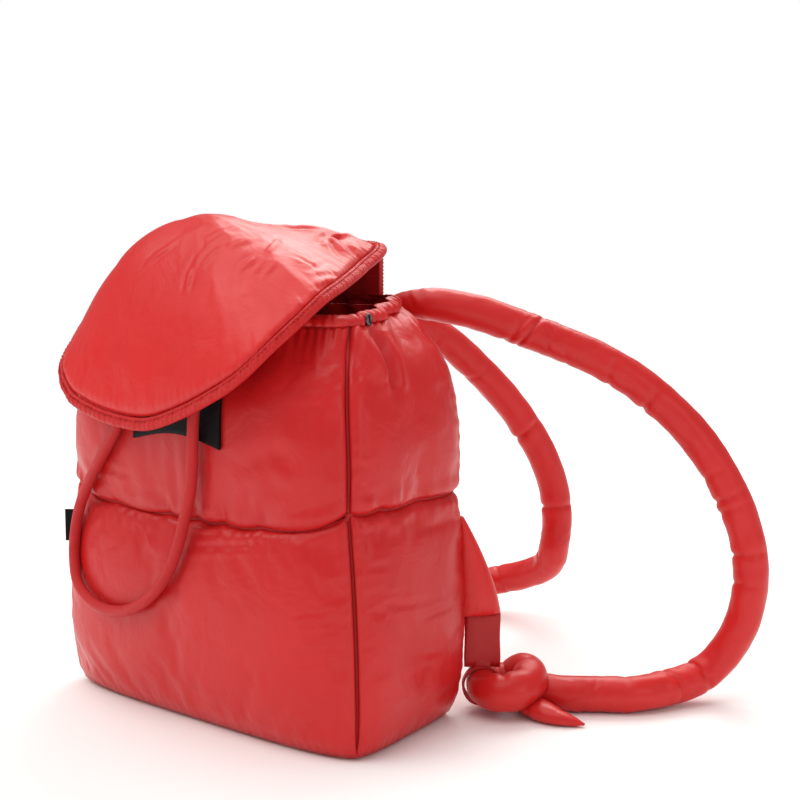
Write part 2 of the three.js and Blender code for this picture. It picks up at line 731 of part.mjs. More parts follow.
// Padded three-cornered wing sewn into the back corner seam, its lower edge holding the loop.
function wingGeometry() {
  const outer = [];
  const inner = [];
  const rows = 6;
  const columns = 6;
  const wingPlace = (out, back) => BACK_CORNER.clone()
    .addScaledVector(KNOT_OUT, out)
    .addScaledVector(KNOT_BACK, back);
  const tip = wingPlace(WING_REACH, WING_BACK_REACH);
  const root = wingPlace(SEAM_GAP, 2 * SEAM_GAP);
  const along = tip.clone().sub(root).setZ(0).normalize();
  const normal = new THREE.Vector3(along.y, -along.x, 0);
  for (let row = 0; row <= rows; row += 1) {
    const up = row / rows;
    const reach = 1 - 0.92 * up ** 1.35;
    const outerRow = [];
    const innerRow = [];
    for (let column = 0; column <= columns; column += 1) {
      const out = column / columns;
      const centre = root.clone().lerp(tip, out * reach);
      centre.z = WING_BOTTOM + WING_HEIGHT * up;
      const padding = puffProfile(mix(0.04, 0.96, out)) * puffProfile(mix(0.06, 0.94, up));
      const half = mix(WING_EDGE_WALL / 2, WING_WALL / 2, padding * (1 - 0.5 * up));
      outerRow.push(centre.clone().addScaledVector(normal, half));
      innerRow.push(centre.clone().addScaledVector(normal, -half));
    }
    outer.push(outerRow);
    inner.push(innerRow);
  }
  return shellGeometry(outer, inner);
}

// Flat strap loop: a band down from the wing that closes as a ring round the strap.
function strapLoopGeometry() {
  const hole = HELD_RADIUS + LOOP_SLACK;
  const sleeve = new THREE.Shape();
  sleeve.absarc(0, 0, hole + LOOP_WALL, 0, 2 * Math.PI);
  const opening = new THREE.Path();
  opening.absarc(0, 0, hole, 0, 2 * Math.PI, true);
  sleeve.holes.push(opening);
  const extrusion = { depth: LOOP_DEPTH, bevelEnabled: false, curveSegments: 14 };
  const ring = new THREE.ExtrudeGeometry(sleeve, extrusion);
  ring.translate(0, 0, -LOOP_DEPTH / 2);
  const bandTop = WING_BOTTOM - SEAM_GAP - HELD_HEIGHT;
  const bandBottom = hole + LOOP_WALL * 0.5;
  const band = new THREE.BoxGeometry(LOOP_WIDTH, bandTop - bandBottom, LOOP_WALL);
  band.translate(0, (bandTop + bandBottom) / 2, 0);
  const joined = fromSolid(toSolid(ring).add(toSolid(band)));
  const upward = new THREE.Vector3(0, 0, 1);
  const placement = new THREE.Matrix4().makeBasis(KNOT_OUT, upward, KNOT_BACK.clone().negate());
  placement.setPosition(LOOP_CENTRE.x, LOOP_CENTRE.y, HELD_HEIGHT);
  joined.applyMatrix4(placement);
  return joined;
}

function drawstringGeometry() {
  const points = DRAWSTRING_ROUTE.map(([x, y, z]) => new THREE.Vector3(x, y, z));
  const route = new THREE.CatmullRomCurve3(points, false, 'centripetal');
  const section = new THREE.Shape();
  for (let side = 0; side < CORD_SIDES; side += 1) {
    const angle = side / CORD_SIDES * 2 * Math.PI;
    const [x, y] = [Math.cos(angle) * CORD_RADIUS, Math.sin(angle) * CORD_RADIUS];
    if (side === 0) section.moveTo(x, y);
    else section.lineTo(x, y);
  }
  section.closePath();
  return new THREE.ExtrudeGeometry(section, { steps: CORD_STEPS, extrudePath: route, curveSegments: 1 });
}

// Round eyelet: a lathe ring round the Y axis, its rounded side towards +Y.
function eyeletGeometry(innerRadius) {
  const outerRadius = innerRadius + EYELET_WIDTH;
  const half = EYELET_WIDTH / 2;
  const profile = [
    [innerRadius, -half], [outerRadius, -half], [outerRadius, 0.2 * half],
    [innerRadius + half, half], [innerRadius, 0.2 * half], [innerRadius, -half],
  ].map(([x, y]) => new THREE.Vector2(x, y));
  return new THREE.LatheGeometry(profile, 20);
}

// Plain closure patch lying on the upper front panel under the flap.
function patchGeometry() {
  const tierHeight = MOUTH_HEIGHT - SEAM_HEIGHT;
  const bottomShare = PATCH_LIFT / tierHeight;
  const topShare = bottomShare + PATCH_HEIGHT / tierHeight;
  const leftShare = 0.5 - (PATCH_WIDTH / 2 - PATCH_OFFSET) / BAG_WIDTH;
  const outer = [];
  const inner = [];
  for (let row = 0; row <= 4; row += 1) {
    const outerRow = [];
    const innerRow = [];
    for (let column = 0; column <= 10; column += 1) {
      const across = leftShare + PATCH_WIDTH / BAG_WIDTH * (column / 10);
      const arch = PATCH_ARCH / tierHeight * Math.sin(Math.PI * column / 10) * (1 - row / 4);
      const { point } = surfacePoint('front', UPPER_TIER, across, mix(bottomShare, topShare, row / 4) + arch);
      innerRow.push(point.clone().add(new THREE.Vector3(0, -PATCH_CLEARANCE, 0)));
      outerRow.push(point.clone().add(new THREE.Vector3(0, -PATCH_CLEARANCE - PATCH_THICKNESS, 0)));
    }
    outer.push(outerRow);
    inner.push(innerRow);
  }
  return shellGeometry(outer, inner);
}

// Plain label sewn into the front left seam, standing outward from the corner.
function labelGeometry() {
  const share = (LABEL_MIDDLE - BASE_THICKNESS) / (SEAM_HEIGHT - BASE_THICKNESS);
  const corner = cornersAt(LOWER_TIER, share).frontLeft;
  const label = new THREE.BoxGeometry(LABEL_REACH, LABEL_THICKNESS, LABEL_HEIGHT);
  label.translate(-LABEL_REACH / 2 - SEAM_GAP * 2, 0, 0);
  label.rotateZ(LABEL_TURN);
  label.translate(corner.x, corner.y, LABEL_MIDDLE);
  return label;
}

// Eyelet on the outside of the casing at a place across a face. It lies along the cloth between
// its two edges and seats on the fullest fold under its rim.
function casingEyelet(faceName, across, innerRadius) {
  const width = faceName === 'front' ? BAG_WIDTH : BAG_DEPTH;
  const rim = innerRadius + EYELET_WIDTH;
  const overhang = Math.max(0, rim - CASING_HEIGHT / 2);
  const clothAt = (step, drop) => {
    const up = 1 - drop * overhang / (MOUTH_HEIGHT - SEAM_HEIGHT);
    return surfacePoint(faceName, UPPER_TIER, across + step * rim / width, up).point;
  };
  const along = clothAt(1, 0).sub(clothAt(-1, 0)).setZ(0).normalize();
  const outward = new THREE.Vector3(along.y, -along.x, 0);
  const point = clothAt(0, 0);
  let fullest = 0;
  for (const step of [-0.85, -0.5, -0.25, 0, 0.25, 0.5, 0.85]) {
    for (const drop of [0, 0.5, 1]) {
      fullest = Math.max(fullest, clothAt(step, drop).sub(point).dot(outward));
    }
  }
  const eyelet = eyeletGeometry(innerRadius);
  eyelet.rotateZ(Math.atan2(-outward.x, outward.y));
  const seat = point.addScaledVector(outward, fullest + EYELET_WIDTH / 2 + SEAM_GAP);
  eyelet.translate(seat.x, seat.y, seat.z + CASING_HEIGHT / 2);
  return eyelet;
}

const backpack = new THREE.Group();

function addPart(name, geometry, material) {
  const mesh = new THREE.Mesh(geometry, material.clone());
  mesh.name = name;
  backpack.add(mesh);
  return mesh;
}

addPart('base_panel', baseGeometry(), NYLON_FRONT);
for (const tier of [LOWER_TIER, UPPER_TIER]) {
  addPart(`front_panel_${tier.name}`, panelGeometry('front', tier), NYLON_FRONT);
  addPart(`side_panel_right_${tier.name}`, panelGeometry('right', tier), NYLON_FRONT);
  addPart(`back_panel_${tier.name}`, panelGeometry('back', tier), NYLON_FRONT);
  addPart(`side_panel_left_${tier.name}`, panelGeometry('left', tier), NYLON_FRONT);
}
addPart('mouth_casing', casingGeometry(), NYLON_FRONT);
addPart('flap_bridge', bridgeGeometry(), NYLON_FLAP);
addPart('flap_panel', flapGeometry(), NYLON_FLAP);
addPart('flap_binding', bindingGeometry(), NYLON_FLAP);
addPart('closure_patch', patchGeometry(), BLACK_TRIM);

const strapRight = strapGeometry(RIGHT_STRAP_ROUTE, RIGHT_STRAP_REACH, 1);
const strapLeft = strapGeometry(LEFT_STRAP_ROUTE, LEFT_STRAP_REACH, -1);
addPart('shoulder_strap_right', strapRight, NYLON_STRAP);
addPart('shoulder_strap_left', strapLeft, NYLON_STRAP);
const wing = wingGeometry();
addPart('strap_wing_right', wing, NYLON_STRAP);
addPart('strap_wing_left', mirrored(wing), NYLON_STRAP);
const strapLoop = strapLoopGeometry();
addPart('strap_loop_right', strapLoop, NYLON_BAND);
addPart('strap_loop_left', mirrored(strapLoop), NYLON_BAND);
addPart('drawstring_loop', drawstringGeometry(), CORD_FINISH);
// The cord comes out in the first valley of the gathers on each side of the middle.
for (const [name, side] of [['right', 1], ['left', -1]]) {
  const across = 0.5 + side * 0.5 / FRONT_FOLDS;
  addPart(`cord_eyelet_${name}`, casingEyelet('front', across, CORD_RADIUS + EYELET_SLACK), DARK_METAL);
}
const cornerEyelet = casingEyelet('right', CORNER_EYELET_SHARE, CORNER_EYELET_RADIUS);
addPart('corner_eyelet_right', cornerEyelet, DARK_METAL);
addPart('corner_eyelet_left', mirrored(cornerEyelet), DARK_METAL);
addPart('side_label', labelGeometry(), BLACK_TRIM);

export default backpack;
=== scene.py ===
"""Dresses a quilted puffer backpack: padded panels, flap, tube straps, drawstring and trim."""

import json
import logging
import math
from collections.abc import Callable, Sequence
from dataclasses import dataclass
from enum import Enum

import bpy
import numpy as np
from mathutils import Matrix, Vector

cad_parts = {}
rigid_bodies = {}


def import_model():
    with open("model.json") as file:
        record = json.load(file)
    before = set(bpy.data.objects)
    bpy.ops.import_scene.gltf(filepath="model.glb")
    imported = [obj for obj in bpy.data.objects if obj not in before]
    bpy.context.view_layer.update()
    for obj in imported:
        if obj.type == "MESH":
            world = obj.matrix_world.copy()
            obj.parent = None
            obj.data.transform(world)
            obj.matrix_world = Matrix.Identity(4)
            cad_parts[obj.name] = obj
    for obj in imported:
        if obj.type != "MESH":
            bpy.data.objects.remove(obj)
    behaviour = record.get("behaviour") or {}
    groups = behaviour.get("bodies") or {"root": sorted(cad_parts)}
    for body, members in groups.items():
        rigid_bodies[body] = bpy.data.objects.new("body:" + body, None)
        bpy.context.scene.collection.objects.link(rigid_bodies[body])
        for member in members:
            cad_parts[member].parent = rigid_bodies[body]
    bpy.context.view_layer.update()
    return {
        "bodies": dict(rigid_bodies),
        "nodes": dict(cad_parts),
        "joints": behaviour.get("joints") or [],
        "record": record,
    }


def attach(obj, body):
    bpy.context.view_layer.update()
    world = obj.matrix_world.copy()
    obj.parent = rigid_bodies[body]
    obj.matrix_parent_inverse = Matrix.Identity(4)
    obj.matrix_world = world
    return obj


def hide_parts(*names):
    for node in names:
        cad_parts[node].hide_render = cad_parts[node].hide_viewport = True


LOG = logging.getLogger("puffer_backpack")
MM = 0.001
ROOT = "root"
Point = tuple[float, float, float]


class Tone(Enum):
    """Linear colours of the cloths and trims, and a darker red that paints shade into the sunken seams."""

    BODY = (0.590, 0.011, 0.012)
    BODY_DEEP = (0.530, 0.008, 0.009)
    FLAP = (0.660, 0.016, 0.015)
    FLAP_DEEP = (0.610, 0.012, 0.011)
    STRAP = (0.630, 0.016, 0.015)
    STRAP_DEEP = (0.560, 0.011, 0.010)
    BAND = (0.500, 0.011, 0.013)
    BAND_DEEP = (0.430, 0.008, 0.010)
    CORD = (0.570, 0.016, 0.018)
    CORD_DEEP = (0.450, 0.009, 0.011)
    # Darker red for the sunken seam lines: painted shade in the seam grooves.
    LINING = (0.410, 0.009, 0.010)
    BLACK = (0.0030, 0.0028, 0.0030)
    BLACK_LIFTED = (0.0060, 0.0058, 0.0064)
    GUNMETAL = (0.120, 0.118, 0.122)


class Side(Enum):
    """The two sides of the bag, seen from its front."""

    RIGHT = 1
    LEFT = -1


def paint(tone: Tone) -> tuple[float, float, float, float]:
    """Gives a tone as an opaque colour for a node socket."""
    return (*tone.value, 1.0)


class NodeGraph:
    """Short way to add and link the nodes of one material."""

    TONE_SPAN = (0.35, 0.68)
    NOISE_SPAN = (0.3, 0.7)

    def __init__(self, name: str) -> None:
        """Starts a material with an empty principled shader.

        Args:
            name: The material's name.
        """
        self.material = bpy.data.materials.new(name)
        self.material.use_nodes = True
        self.nodes = self.material.node_tree.nodes
        self.links = self.material.node_tree.links
        self.shader = self.nodes["Principled BSDF"]
        self.coordinates = self.nodes.new("ShaderNodeTexCoord")

    def fill(self, node: bpy.types.Node, **inputs: object) -> bpy.types.Node:
        """Fills or links the inputs of a node.

        Args:
            node: The node.
            **inputs: A value or an output socket for each input, with _ for a space, or i0 for the first.

        Returns:
            The same node.
        """
        for key, value in inputs.items():
            socket = node.inputs[int(key[1:]) if key[1:].isdigit() else key.replace("_", " ")]
            if isinstance(value, bpy.types.NodeSocket):
                self.links.new(value, socket)
            else:
                socket.default_value = value
        return node

    def add(self, kind: str, settings: dict | None = None, **inputs: object) -> bpy.types.Node:
        """Adds a node, sets its options and fills its inputs.

        Args:
            kind: The node's type name.
            settings: Options of the node itself, by attribute name.
            **inputs: Its inputs, as fill takes them.

        Returns:
            The new node.
        """
        node = self.nodes.new(kind)
        for key, value in (settings or {}).items():
            setattr(node, key, value)
        return self.fill(node, **inputs)

    def placed(self, scale: Point, turn: Point = (0.0, 0.0, 0.0),
               source: str = "Object") -> bpy.types.NodeSocket:
        """Gives the piece's coordinates, turned and scaled for a pattern."""
        mapping = self.add("ShaderNodeMapping", None, Vector=self.coordinates.outputs[source], Scale=scale,
                           Rotation=turn)
        return mapping.outputs["Vector"]

    def noise(self, scale: float, **inputs: object) -> bpy.types.NodeSocket:
        """Adds noise on the piece's own coordinates, finer for a larger scale."""
        place = self.placed((scale, scale, scale))
        return self.add("ShaderNodeTexNoise", None, Vector=place, Scale=1.0, **inputs).outputs["Fac"]

    def bands(self, direction: str, scale: float, **inputs: object) -> bpy.types.NodeSocket:
        """Adds even bands across the piece, finer for a larger scale.

        Args:
            direction: The axis that the bands lie across.
            scale: How fine they are.
            **inputs: Further inputs, as fill takes them.

        Returns:
            The bands' height.
        """
        settings = {"bands_direction": direction}
        place = self.placed((1, 1, 1))
        return self.add("ShaderNodeTexWave", settings, Vector=place, Scale=scale, **inputs).outputs["Fac"]

    def combine(self, operation: str, first: bpy.types.NodeSocket,
                second: bpy.types.NodeSocket) -> bpy.types.NodeSocket:
        """Joins two values by one operation."""
        return self.add("ShaderNodeMath", {"operation": operation}, i0=first, i1=second).outputs["Value"]

    def blend_tones(self, factor: bpy.types.NodeSocket, low: Tone, high: Tone) -> bpy.types.NodeSocket:
        """Mixes two tones by a factor and gives the colour socket.

        Args:
            factor: The share of the second tone.
            low: The first tone.
            high: The second tone.

        Returns:
            The colour socket.
        """
        ramp = self.add("ShaderNodeValToRGB", None, Fac=factor)
        for stop, tone, position in zip(ramp.color_ramp.elements, (low, high), self.TONE_SPAN):
            stop.color = paint(tone)
            stop.position = position
        return ramp.outputs["Color"]

    def range_of(self, value: bpy.types.NodeSocket, low: float, high: float) -> bpy.types.NodeSocket:
        """Maps the middle span of a noise to a range.

        Args:
            value: The noise.
            low: The start of the range.
            high: Its end.

        Returns:
            The value socket.
        """
        start, end = self.NOISE_SPAN
        node = self.add("ShaderNodeMapRange", None, Value=value, i1=start, i2=end, i3=low, i4=high)
        return node.outputs["Result"]

    def bump(self, height: bpy.types.NodeSocket, distance: float, strength: float,
             under: bpy.types.NodeSocket | None = None) -> bpy.types.NodeSocket:
        """Adds one layer of bump over another and gives the normal.

        Args:
            height: The layer's height, from 0 to 1.
            distance: What a height of 1 stands for.
            strength: How much of it shows.
            under: The normal of the layer below.

        Returns:
            The normal socket.
        """
        node = self.add("ShaderNodeBump", None, Height=height, Distance=distance, Strength=strength)
        if under is not None:
            self.fill(node, Normal=under)
        return node.outputs["Normal"]

    def material_with(self, **inputs: object) -> bpy.types.Material:
        """Fills the shader's inputs and gives the finished material."""
        self.fill(self.shader, **inputs)
        return self.material


@dataclass(frozen=True)
class NylonFinish:
    """Thin glossy nylon over filling: soft sheen, fine crinkles and a tight plain weave."""

    name: str
    tone: Tone
    deep: Tone
    roughness: float = 0.36
    crinkle: float = 0.0016
    streak_turn: Point = (0.0, 0.6, 0.5)
    streak_scale: Point = (62, 17, 34)
    weave: float = 420.0
    weave_height: float = 0.06 * MM
    tone_scale: float = 9.0
    gloss_scale: float = 26.0
    crinkle_scale: float = 30.0

    def make(self) -> bpy.types.Material:
        """Makes the material.

        Returns:
            The nylon material, ready for a slot.
        """
        graph = NodeGraph(self.name)
        colour = graph.blend_tones(graph.noise(self.tone_scale, Detail=3.0), self.deep, self.tone)
        uneven = graph.noise(self.gloss_scale, Detail=4.0)
        gloss = graph.range_of(uneven, self.roughness - 0.05, self.roughness + 0.09)
        soft = graph.noise(self.crinkle_scale, Detail=4.0, Roughness=0.55, Distortion=0.6)
        streaks = graph.add("ShaderNodeTexNoise", {"noise_type": "RIDGED_MULTIFRACTAL"},
                            Vector=graph.placed(self.streak_scale, self.streak_turn), Scale=1.0, Detail=3.0,
                            Distortion=0.8)
        weave = graph.combine("MULTIPLY", graph.bands("X", self.weave, Distortion=0.4),
                              graph.bands("Z", self.weave, Distortion=0.4))
        normal = graph.bump(soft, self.crinkle * 1.6, 0.6)
        normal = graph.bump(streaks.outputs["Fac"], self.crinkle * 0.32, 0.55, normal)
        normal = graph.bump(weave, self.weave_height, 0.5, normal)
        return graph.material_with(Base_Color=colour, Roughness=gloss, Normal=normal,
                                   Specular_IOR_Level=0.36, Sheen_Weight=0.02, Sheen_Roughness=0.4,
                                   Coat_Weight=0.05, Coat_Roughness=0.3)


@dataclass(frozen=True)
class WebbingFinish:
    """Matte woven band, binding or label with ribs across it."""

    name: str
    tone: Tone
    deep: Tone
    ribs: float = 260.0
    roughness: float = 0.6
    shine: float = 0.3
    fuzz_scale: float = 600.0

    def make(self) -> bpy.types.Material:
        """Makes the material.

        Returns:
            The ribbed cloth material, ready for a slot.
        """
        graph = NodeGraph(self.name)
        ribs = graph.bands("Z", self.ribs, Distortion=1.2, Detail=2.0)
        cross = graph.bands("DIAGONAL", self.ribs * 0.8, Distortion=0.8)
        fuzz = graph.noise(self.fuzz_scale, Detail=2.0)
        mixed = graph.combine("MULTIPLY", ribs, cross)
        colour = graph.blend_tones(mixed, self.deep, self.tone)
        gloss = graph.range_of(fuzz, self.roughness - 0.08, self.roughness + 0.1)
        normal = graph.bump(fuzz, 0.15 * MM, 0.4, graph.bump(mixed, 0.3 * MM, 0.7))
        return graph.material_with(Base_Color=colour, Roughness=gloss, Normal=normal,
                                   Specular_IOR_Level=self.shine, Sheen_Weight=0.02, Sheen_Roughness=0.5)


@dataclass(frozen=True)
class BraidFinish:
    """Round braided cord: diagonal strands that follow the cord's own length."""

    name: str
    tone: Tone
    deep: Tone
    strands: float = 8.0
    fibre_scale: float = 900.0

    def make(self) -> bpy.types.Material:
        """Makes the material.

        Returns:
            The braid material, which reads the cord's UV map.
        """
        graph = NodeGraph(self.name)
        waves = []
        for lean in (1.0, -1.0):
            along = graph.placed((1, 1, 1), (0.0, 0.0, lean * math.pi / 4), "UV")
            wave = graph.add("ShaderNodeTexWave", {"bands_direction": "X", "wave_profile": "SIN"},
                             Vector=along, Scale=self.strands, Distortion=0.2)
            waves.append(wave.outputs["Fac"])
        braid = graph.combine("MAXIMUM", *waves)
        colour = graph.blend_tones(braid, self.deep, self.tone)
        fibres = graph.noise(self.fibre_scale)
        normal = graph.bump(fibres, 0.1 * MM, 0.3, graph.bump(braid, 0.4 * MM, 0.6))
        return graph.material_with(Base_Color=colour, Roughness=0.45, Normal=normal, Specular_IOR_Level=0.3,
                                   Sheen_Weight=0.03)


@dataclass(frozen=True)
class MetalFinish:
    """Dark plated metal with fine scuffs."""

    name: str
    tone: Tone
    roughness: float = 0.28
    scuff_scale: Point = (900, 200, 900)

    def make(self) -> bpy.types.Material:
        """Makes the material.

        Returns:
            The metal material, ready for a slot.
        """
        graph = NodeGraph(self.name)
        scuffs = graph.add("ShaderNodeTexNoise", None, Vector=graph.placed(self.scuff_scale), Scale=1.0,
                           Detail=4.0).outputs["Fac"]
        gloss = graph.range_of(scuffs, self.roughness - 0.08, self.roughness + 0.12)
        return graph.material_with(Base_Color=paint(self.tone), Metallic=1.0, Roughness=gloss,
                                   Normal=graph.bump(scuffs, 0.05 * MM, 0.4))


def select_only(piece: bpy.types.Object) -> None:
    """Deselects everything, then selects one piece and makes it active.

    Args:
        piece: The piece to select.
    """
    if bpy.context.object is not None and bpy.context.object.mode != "OBJECT":
        bpy.ops.object.mode_set(mode="OBJECT")
    bpy.ops.object.select_all(action="DESELECT")
    piece.select_set(True)
    bpy.context.view_layer.objects.active = piece


def join_pieces(pieces: Sequence[bpy.types.Object], name: str) -> bpy.types.Object:
    """Joins pieces into the first of them and names it.

    Args:
        pieces: The pieces.
        name: The name of the whole.

    Returns:
        The joined piece.
    """
    select_only(pieces[0])
    for piece in pieces[1:]:
        piece.select_set(True)
    bpy.ops.object.join()
    pieces[0].name = name
    return pieces[0]


def apply_modifier(piece: bpy.types.Object, kind: str, **options: object) -> None:
    """Adds a modifier, sets it and applies it.

    Args:
        piece: The piece that the modifier works on.
        kind: The modifier's type name.
        **options: The modifier's settings.
    """
    modifier = piece.modifiers.new(kind.title(), kind)
    for key, value in options.items():
        setattr(modifier, key, value)
    select_only(piece)
    bpy.ops.object.modifier_apply(modifier=modifier.name)


def coordinates(piece: bpy.types.Object) -> np.ndarray:
    """Gives a mesh's points as rows of x, y and z.

    Args:
        piece: The piece whose mesh is read.

    Returns:
        One row for each point.
    """
    flat = np.empty(len(piece.data.vertices) * 3)
    piece.data.vertices.foreach_get("co", flat)
    return flat.reshape(-1, 3)


def set_coordinates(piece: bpy.types.Object, points: np.ndarray) -> None:
    """Writes rows of x, y and z back to a mesh."""
    piece.data.vertices.foreach_set("co", points.astype(np.float32).ravel())
    piece.data.update()


def point_normals(piece: bpy.types.Object) -> np.ndarray:
    """Gives the unit normal at each point of a mesh."""
    return np.array([v.normal[:] for v in piece.data.vertices])


def neighbour_pairs(piece: bpy.types.Object) -> np.ndarray:
    """Gives the two points of each edge of a mesh.

    Args:
        piece: The piece whose mesh is read.

    Returns:
        One pair of point indices for each edge.
    """
    flat = np.empty(len(piece.data.edges) * 2, dtype=np.int64)
    piece.data.edges.foreach_get("vertices", flat)
    return flat.reshape(-1, 2)


def smoothed(values: np.ndarray, pairs: np.ndarray, rounds: int) -> np.ndarray:
    """Averages values over neighbouring points a number of times.

    Args:
        values: One row for each point.
        pairs: The edges as pairs of points.
        rounds: How many times to average.

    Returns:
        The smoothed rows.
    """
    result = values.copy()
    counts = np.bincount(pairs.ravel(), minlength=len(values))[:, None]
    for _ in range(rounds):
        total = np.zeros_like(result)
        np.add.at(total, pairs[:, 0], result[pairs[:, 1]])
        np.add.at(total, pairs[:, 1], result[pairs[:, 0]])
        result = 0.5 * result + 0.5 * total / np.maximum(counts, 1)
    return result


def travelled(line: np.ndarray) -> np.ndarray:
    """Gives how far along a line each of its points lies."""
    return np.concatenate([[0], np.cumsum(np.linalg.norm(np.diff(line, axis=0), axis=1))])


def at_distances(rows: np.ndarray, distances: np.ndarray, wanted: np.ndarray | float) -> np.ndarray:
    """Reads rows of three values, which go with distances along a line, at other distances."""
    return np.stack([np.interp(wanted, distances, rows[:, axis]) for axis in range(3)], axis=-1)


def unit(rows: np.ndarray) -> np.ndarray:
    """Scales each row to a length of 1."""
    return rows / np.linalg.norm(rows, axis=-1, keepdims=True)


def fade(distance: np.ndarray, reach: float, power: float = 2.0) -> np.ndarray:
    """Falls from 1 at a line towards 0 past a reach in millimetres."""
    return np.exp(-(distance / (reach * MM)) ** power)


@dataclass(frozen=True)
class Gathers:
    """A row of gathers along a line: their depth, their length in millimetres and how unevenly they lie."""

    depth: float
    length: float
    drift: float = 0.0
    drift_length: float = 1.0

    def height(self, along: np.ndarray, shift: float = 0.0) -> np.ndarray:
        """Gives the gathers' height at distances along the line, from minus to plus their depth."""
        drift = self.drift * np.sin(along / (self.drift_length * MM) + shift)
        return self.depth * np.sin(2 * np.pi * along / (self.length * MM) + drift)


@dataclass(frozen=True)
class Fold:
    """A crease pressed into padding between two places, with a soft ridge beside it."""

    start: Point
    end: Point
    depth: float
    width: float
    ridge: float = 0.35

    def push(self, points: np.ndarray) -> np.ndarray:
        """Works out how far each point moves along its normal.

        Args:
            points: Rows of x, y and z in metres.

        Returns:
            One distance for each point, negative into the padding.
        """
        start = np.array(self.start)
        along = np.array(self.end) - start
        share = np.clip((points - start) @ along / (along @ along), 0.0, 1.0)
        away = np.linalg.norm(points - start - share[:, None] * along, axis=1)
        taper = np.sin(np.pi * np.clip(share, 0.02, 0.98)) ** 0.6
        valley = np.exp(-(away / self.width) ** 2)
        shoulder = np.exp(-((away - 2.1 * self.width) / (1.1 * self.width)) ** 2)
        return self.depth * taper * (self.ridge * shoulder - valley)


@dataclass(frozen=True)
class Stuffing:
    """How a padded piece is blown up: pressure, spare cloth and how much of it stays."""

    pressure: float = 4.0
    spare: float = 0.06
    stiffness: float = 12.0
    bending: float = 0.03
    frames: int = 20
    keep_bulge: float = 0.25
    keep_wrinkles: float = 1.0
    cap: float = 0.0045
    broad_rounds: int = 24
    sewn_steps: float = 1.5

    def held_near(self, steps: np.ndarray) -> np.ndarray:
        """Gives how firmly cloth is held that lies a number of grid steps in from its sewn edge."""
        return np.clip(1 - steps / self.sewn_steps, 0, 1)

    def blow_up(self, piece: bpy.types.Object, held: np.ndarray) -> np.ndarray:
        """Simulates the cloth, then keeps its wrinkles and a share of its bulge.

        Args:
            piece: The closed mesh of the padded piece.
            held: For each point, 1 where it is sewn down and 0 where it is free.

        Returns:
            How far each point moves.
        """
        group = piece.vertex_groups.new(name="sewn")
        for weight in np.unique(held.round(2)):
            if weight > 0:
                members = np.nonzero(held.round(2) == weight)[0]
                group.add(members.tolist(), float(weight), "REPLACE")
        start = coordinates(piece)
        cloth = piece.modifiers.new("Cloth", "CLOTH")
        rules = cloth.settings
        rules.quality = 5
        rules.mass = 0.15
        rules.tension_stiffness = self.stiffness
        rules.compression_stiffness = self.stiffness
        rules.shear_stiffness = self.stiffness * 0.4
        rules.bending_stiffness = self.bending
        rules.tension_damping = 12
        rules.compression_damping = 12
        rules.air_damping = 3
        rules.shrink_min = -self.spare
        rules.use_pressure = True
        rules.uniform_pressure_force = self.pressure
        rules.vertex_group_mass = group.name
        rules.effector_weights.gravity = 0.0
        cloth.collision_settings.use_collision = False
        cloth.point_cache.frame_end = self.frames
        scene = bpy.context.scene
        for frame in range(1, self.frames + 1):
            scene.frame_set(frame)
        shaped = piece.evaluated_get(bpy.context.evaluated_depsgraph_get())
        flat = np.empty(len(shaped.data.vertices) * 3)
        shaped.data.vertices.foreach_get("co", flat)
        moved = flat.reshape(-1, 3) - start
        piece.modifiers.remove(cloth)
        piece.vertex_groups.remove(group)
        scene.frame_set(1)
        broad = smoothed(moved, neighbour_pairs(piece), self.broad_rounds)
        wanted = self.keep_bulge * broad + self.keep_wrinkles * (moved - broad)
        length = np.linalg.norm(wanted, axis=1, keepdims=True)
        LOG.info("%s moved by up to %.1f mm", piece.name, length.max() / MM)
        return wanted * self.cap * np.tanh(length / self.cap) / np.maximum(length, 1e-9)


def streaks(rows: Sequence[tuple[Point, Point]], depth: float, width: float,
            ridge: float = 0.35) -> list[Fold]:
    """Makes folds of one depth and width from their two ends in millimetres."""
    return [Fold(tuple(v * MM for v in start), tuple(v * MM for v in end), depth * MM, width * MM, ridge)
            for start, end in rows]


FLAP_FOLDS = (
    *streaks((((-31, -78, 317), (-13, -69, 330)), ((22, -79, 315), (30, -68, 327)),
              ((55, -77, 312), (56, -59, 323)), ((72, -73, 309), (67, -54, 319)),
              ((60, -84, 302), (57, -79, 310)), ((17, -88, 299), (15, -81, 312)),
              ((58, -52, 324), (44, -26, 332)), ((13, -64, 333), (20, -42, 340))), -1.25, 1.9, 0.5),
    *streaks((((16, -82, 311), (21, -55, 337)), ((34, -70, 327), (40, -40, 335))), -0.8, 2.6, 0.6),
    *streaks((((20, 10, 336), (62, 40, 328)),), -4.5, 20.0, 0.0),
    *streaks((((-6, -22, 346), (10, 10, 341)),), 2.2, 14.0, 0.0),
    *streaks((((-70, -70, 308), (-30, -40, 340)),), -3.5, 22.0, 0.0),
    *streaks((((45, 25, 332), (51, 26, 331)),), 6.0, 5.5, 0.3),
    *streaks((((47, 15, 331), (70, 5, 320)), ((57, 24, 327), (70, 20, 320)),
              ((42, 25, 333), (53, -2, 328)), ((36, 20, 335), (20, 0, 340))), 1.3, 2.6, 0.6),
    *streaks((((84, -40, 313), (75, -13, 317)), ((90, -45, 309), (89, -16, 310)),
              ((68, -35, 321), (83, -30, 314)), ((99, -52, 302), (97, -30, 304)),
              ((104, -66, 290), (96, -60, 300)), ((107, -78, 276), (98, -76, 287))), 0.7, 2.0, 0.5),
)
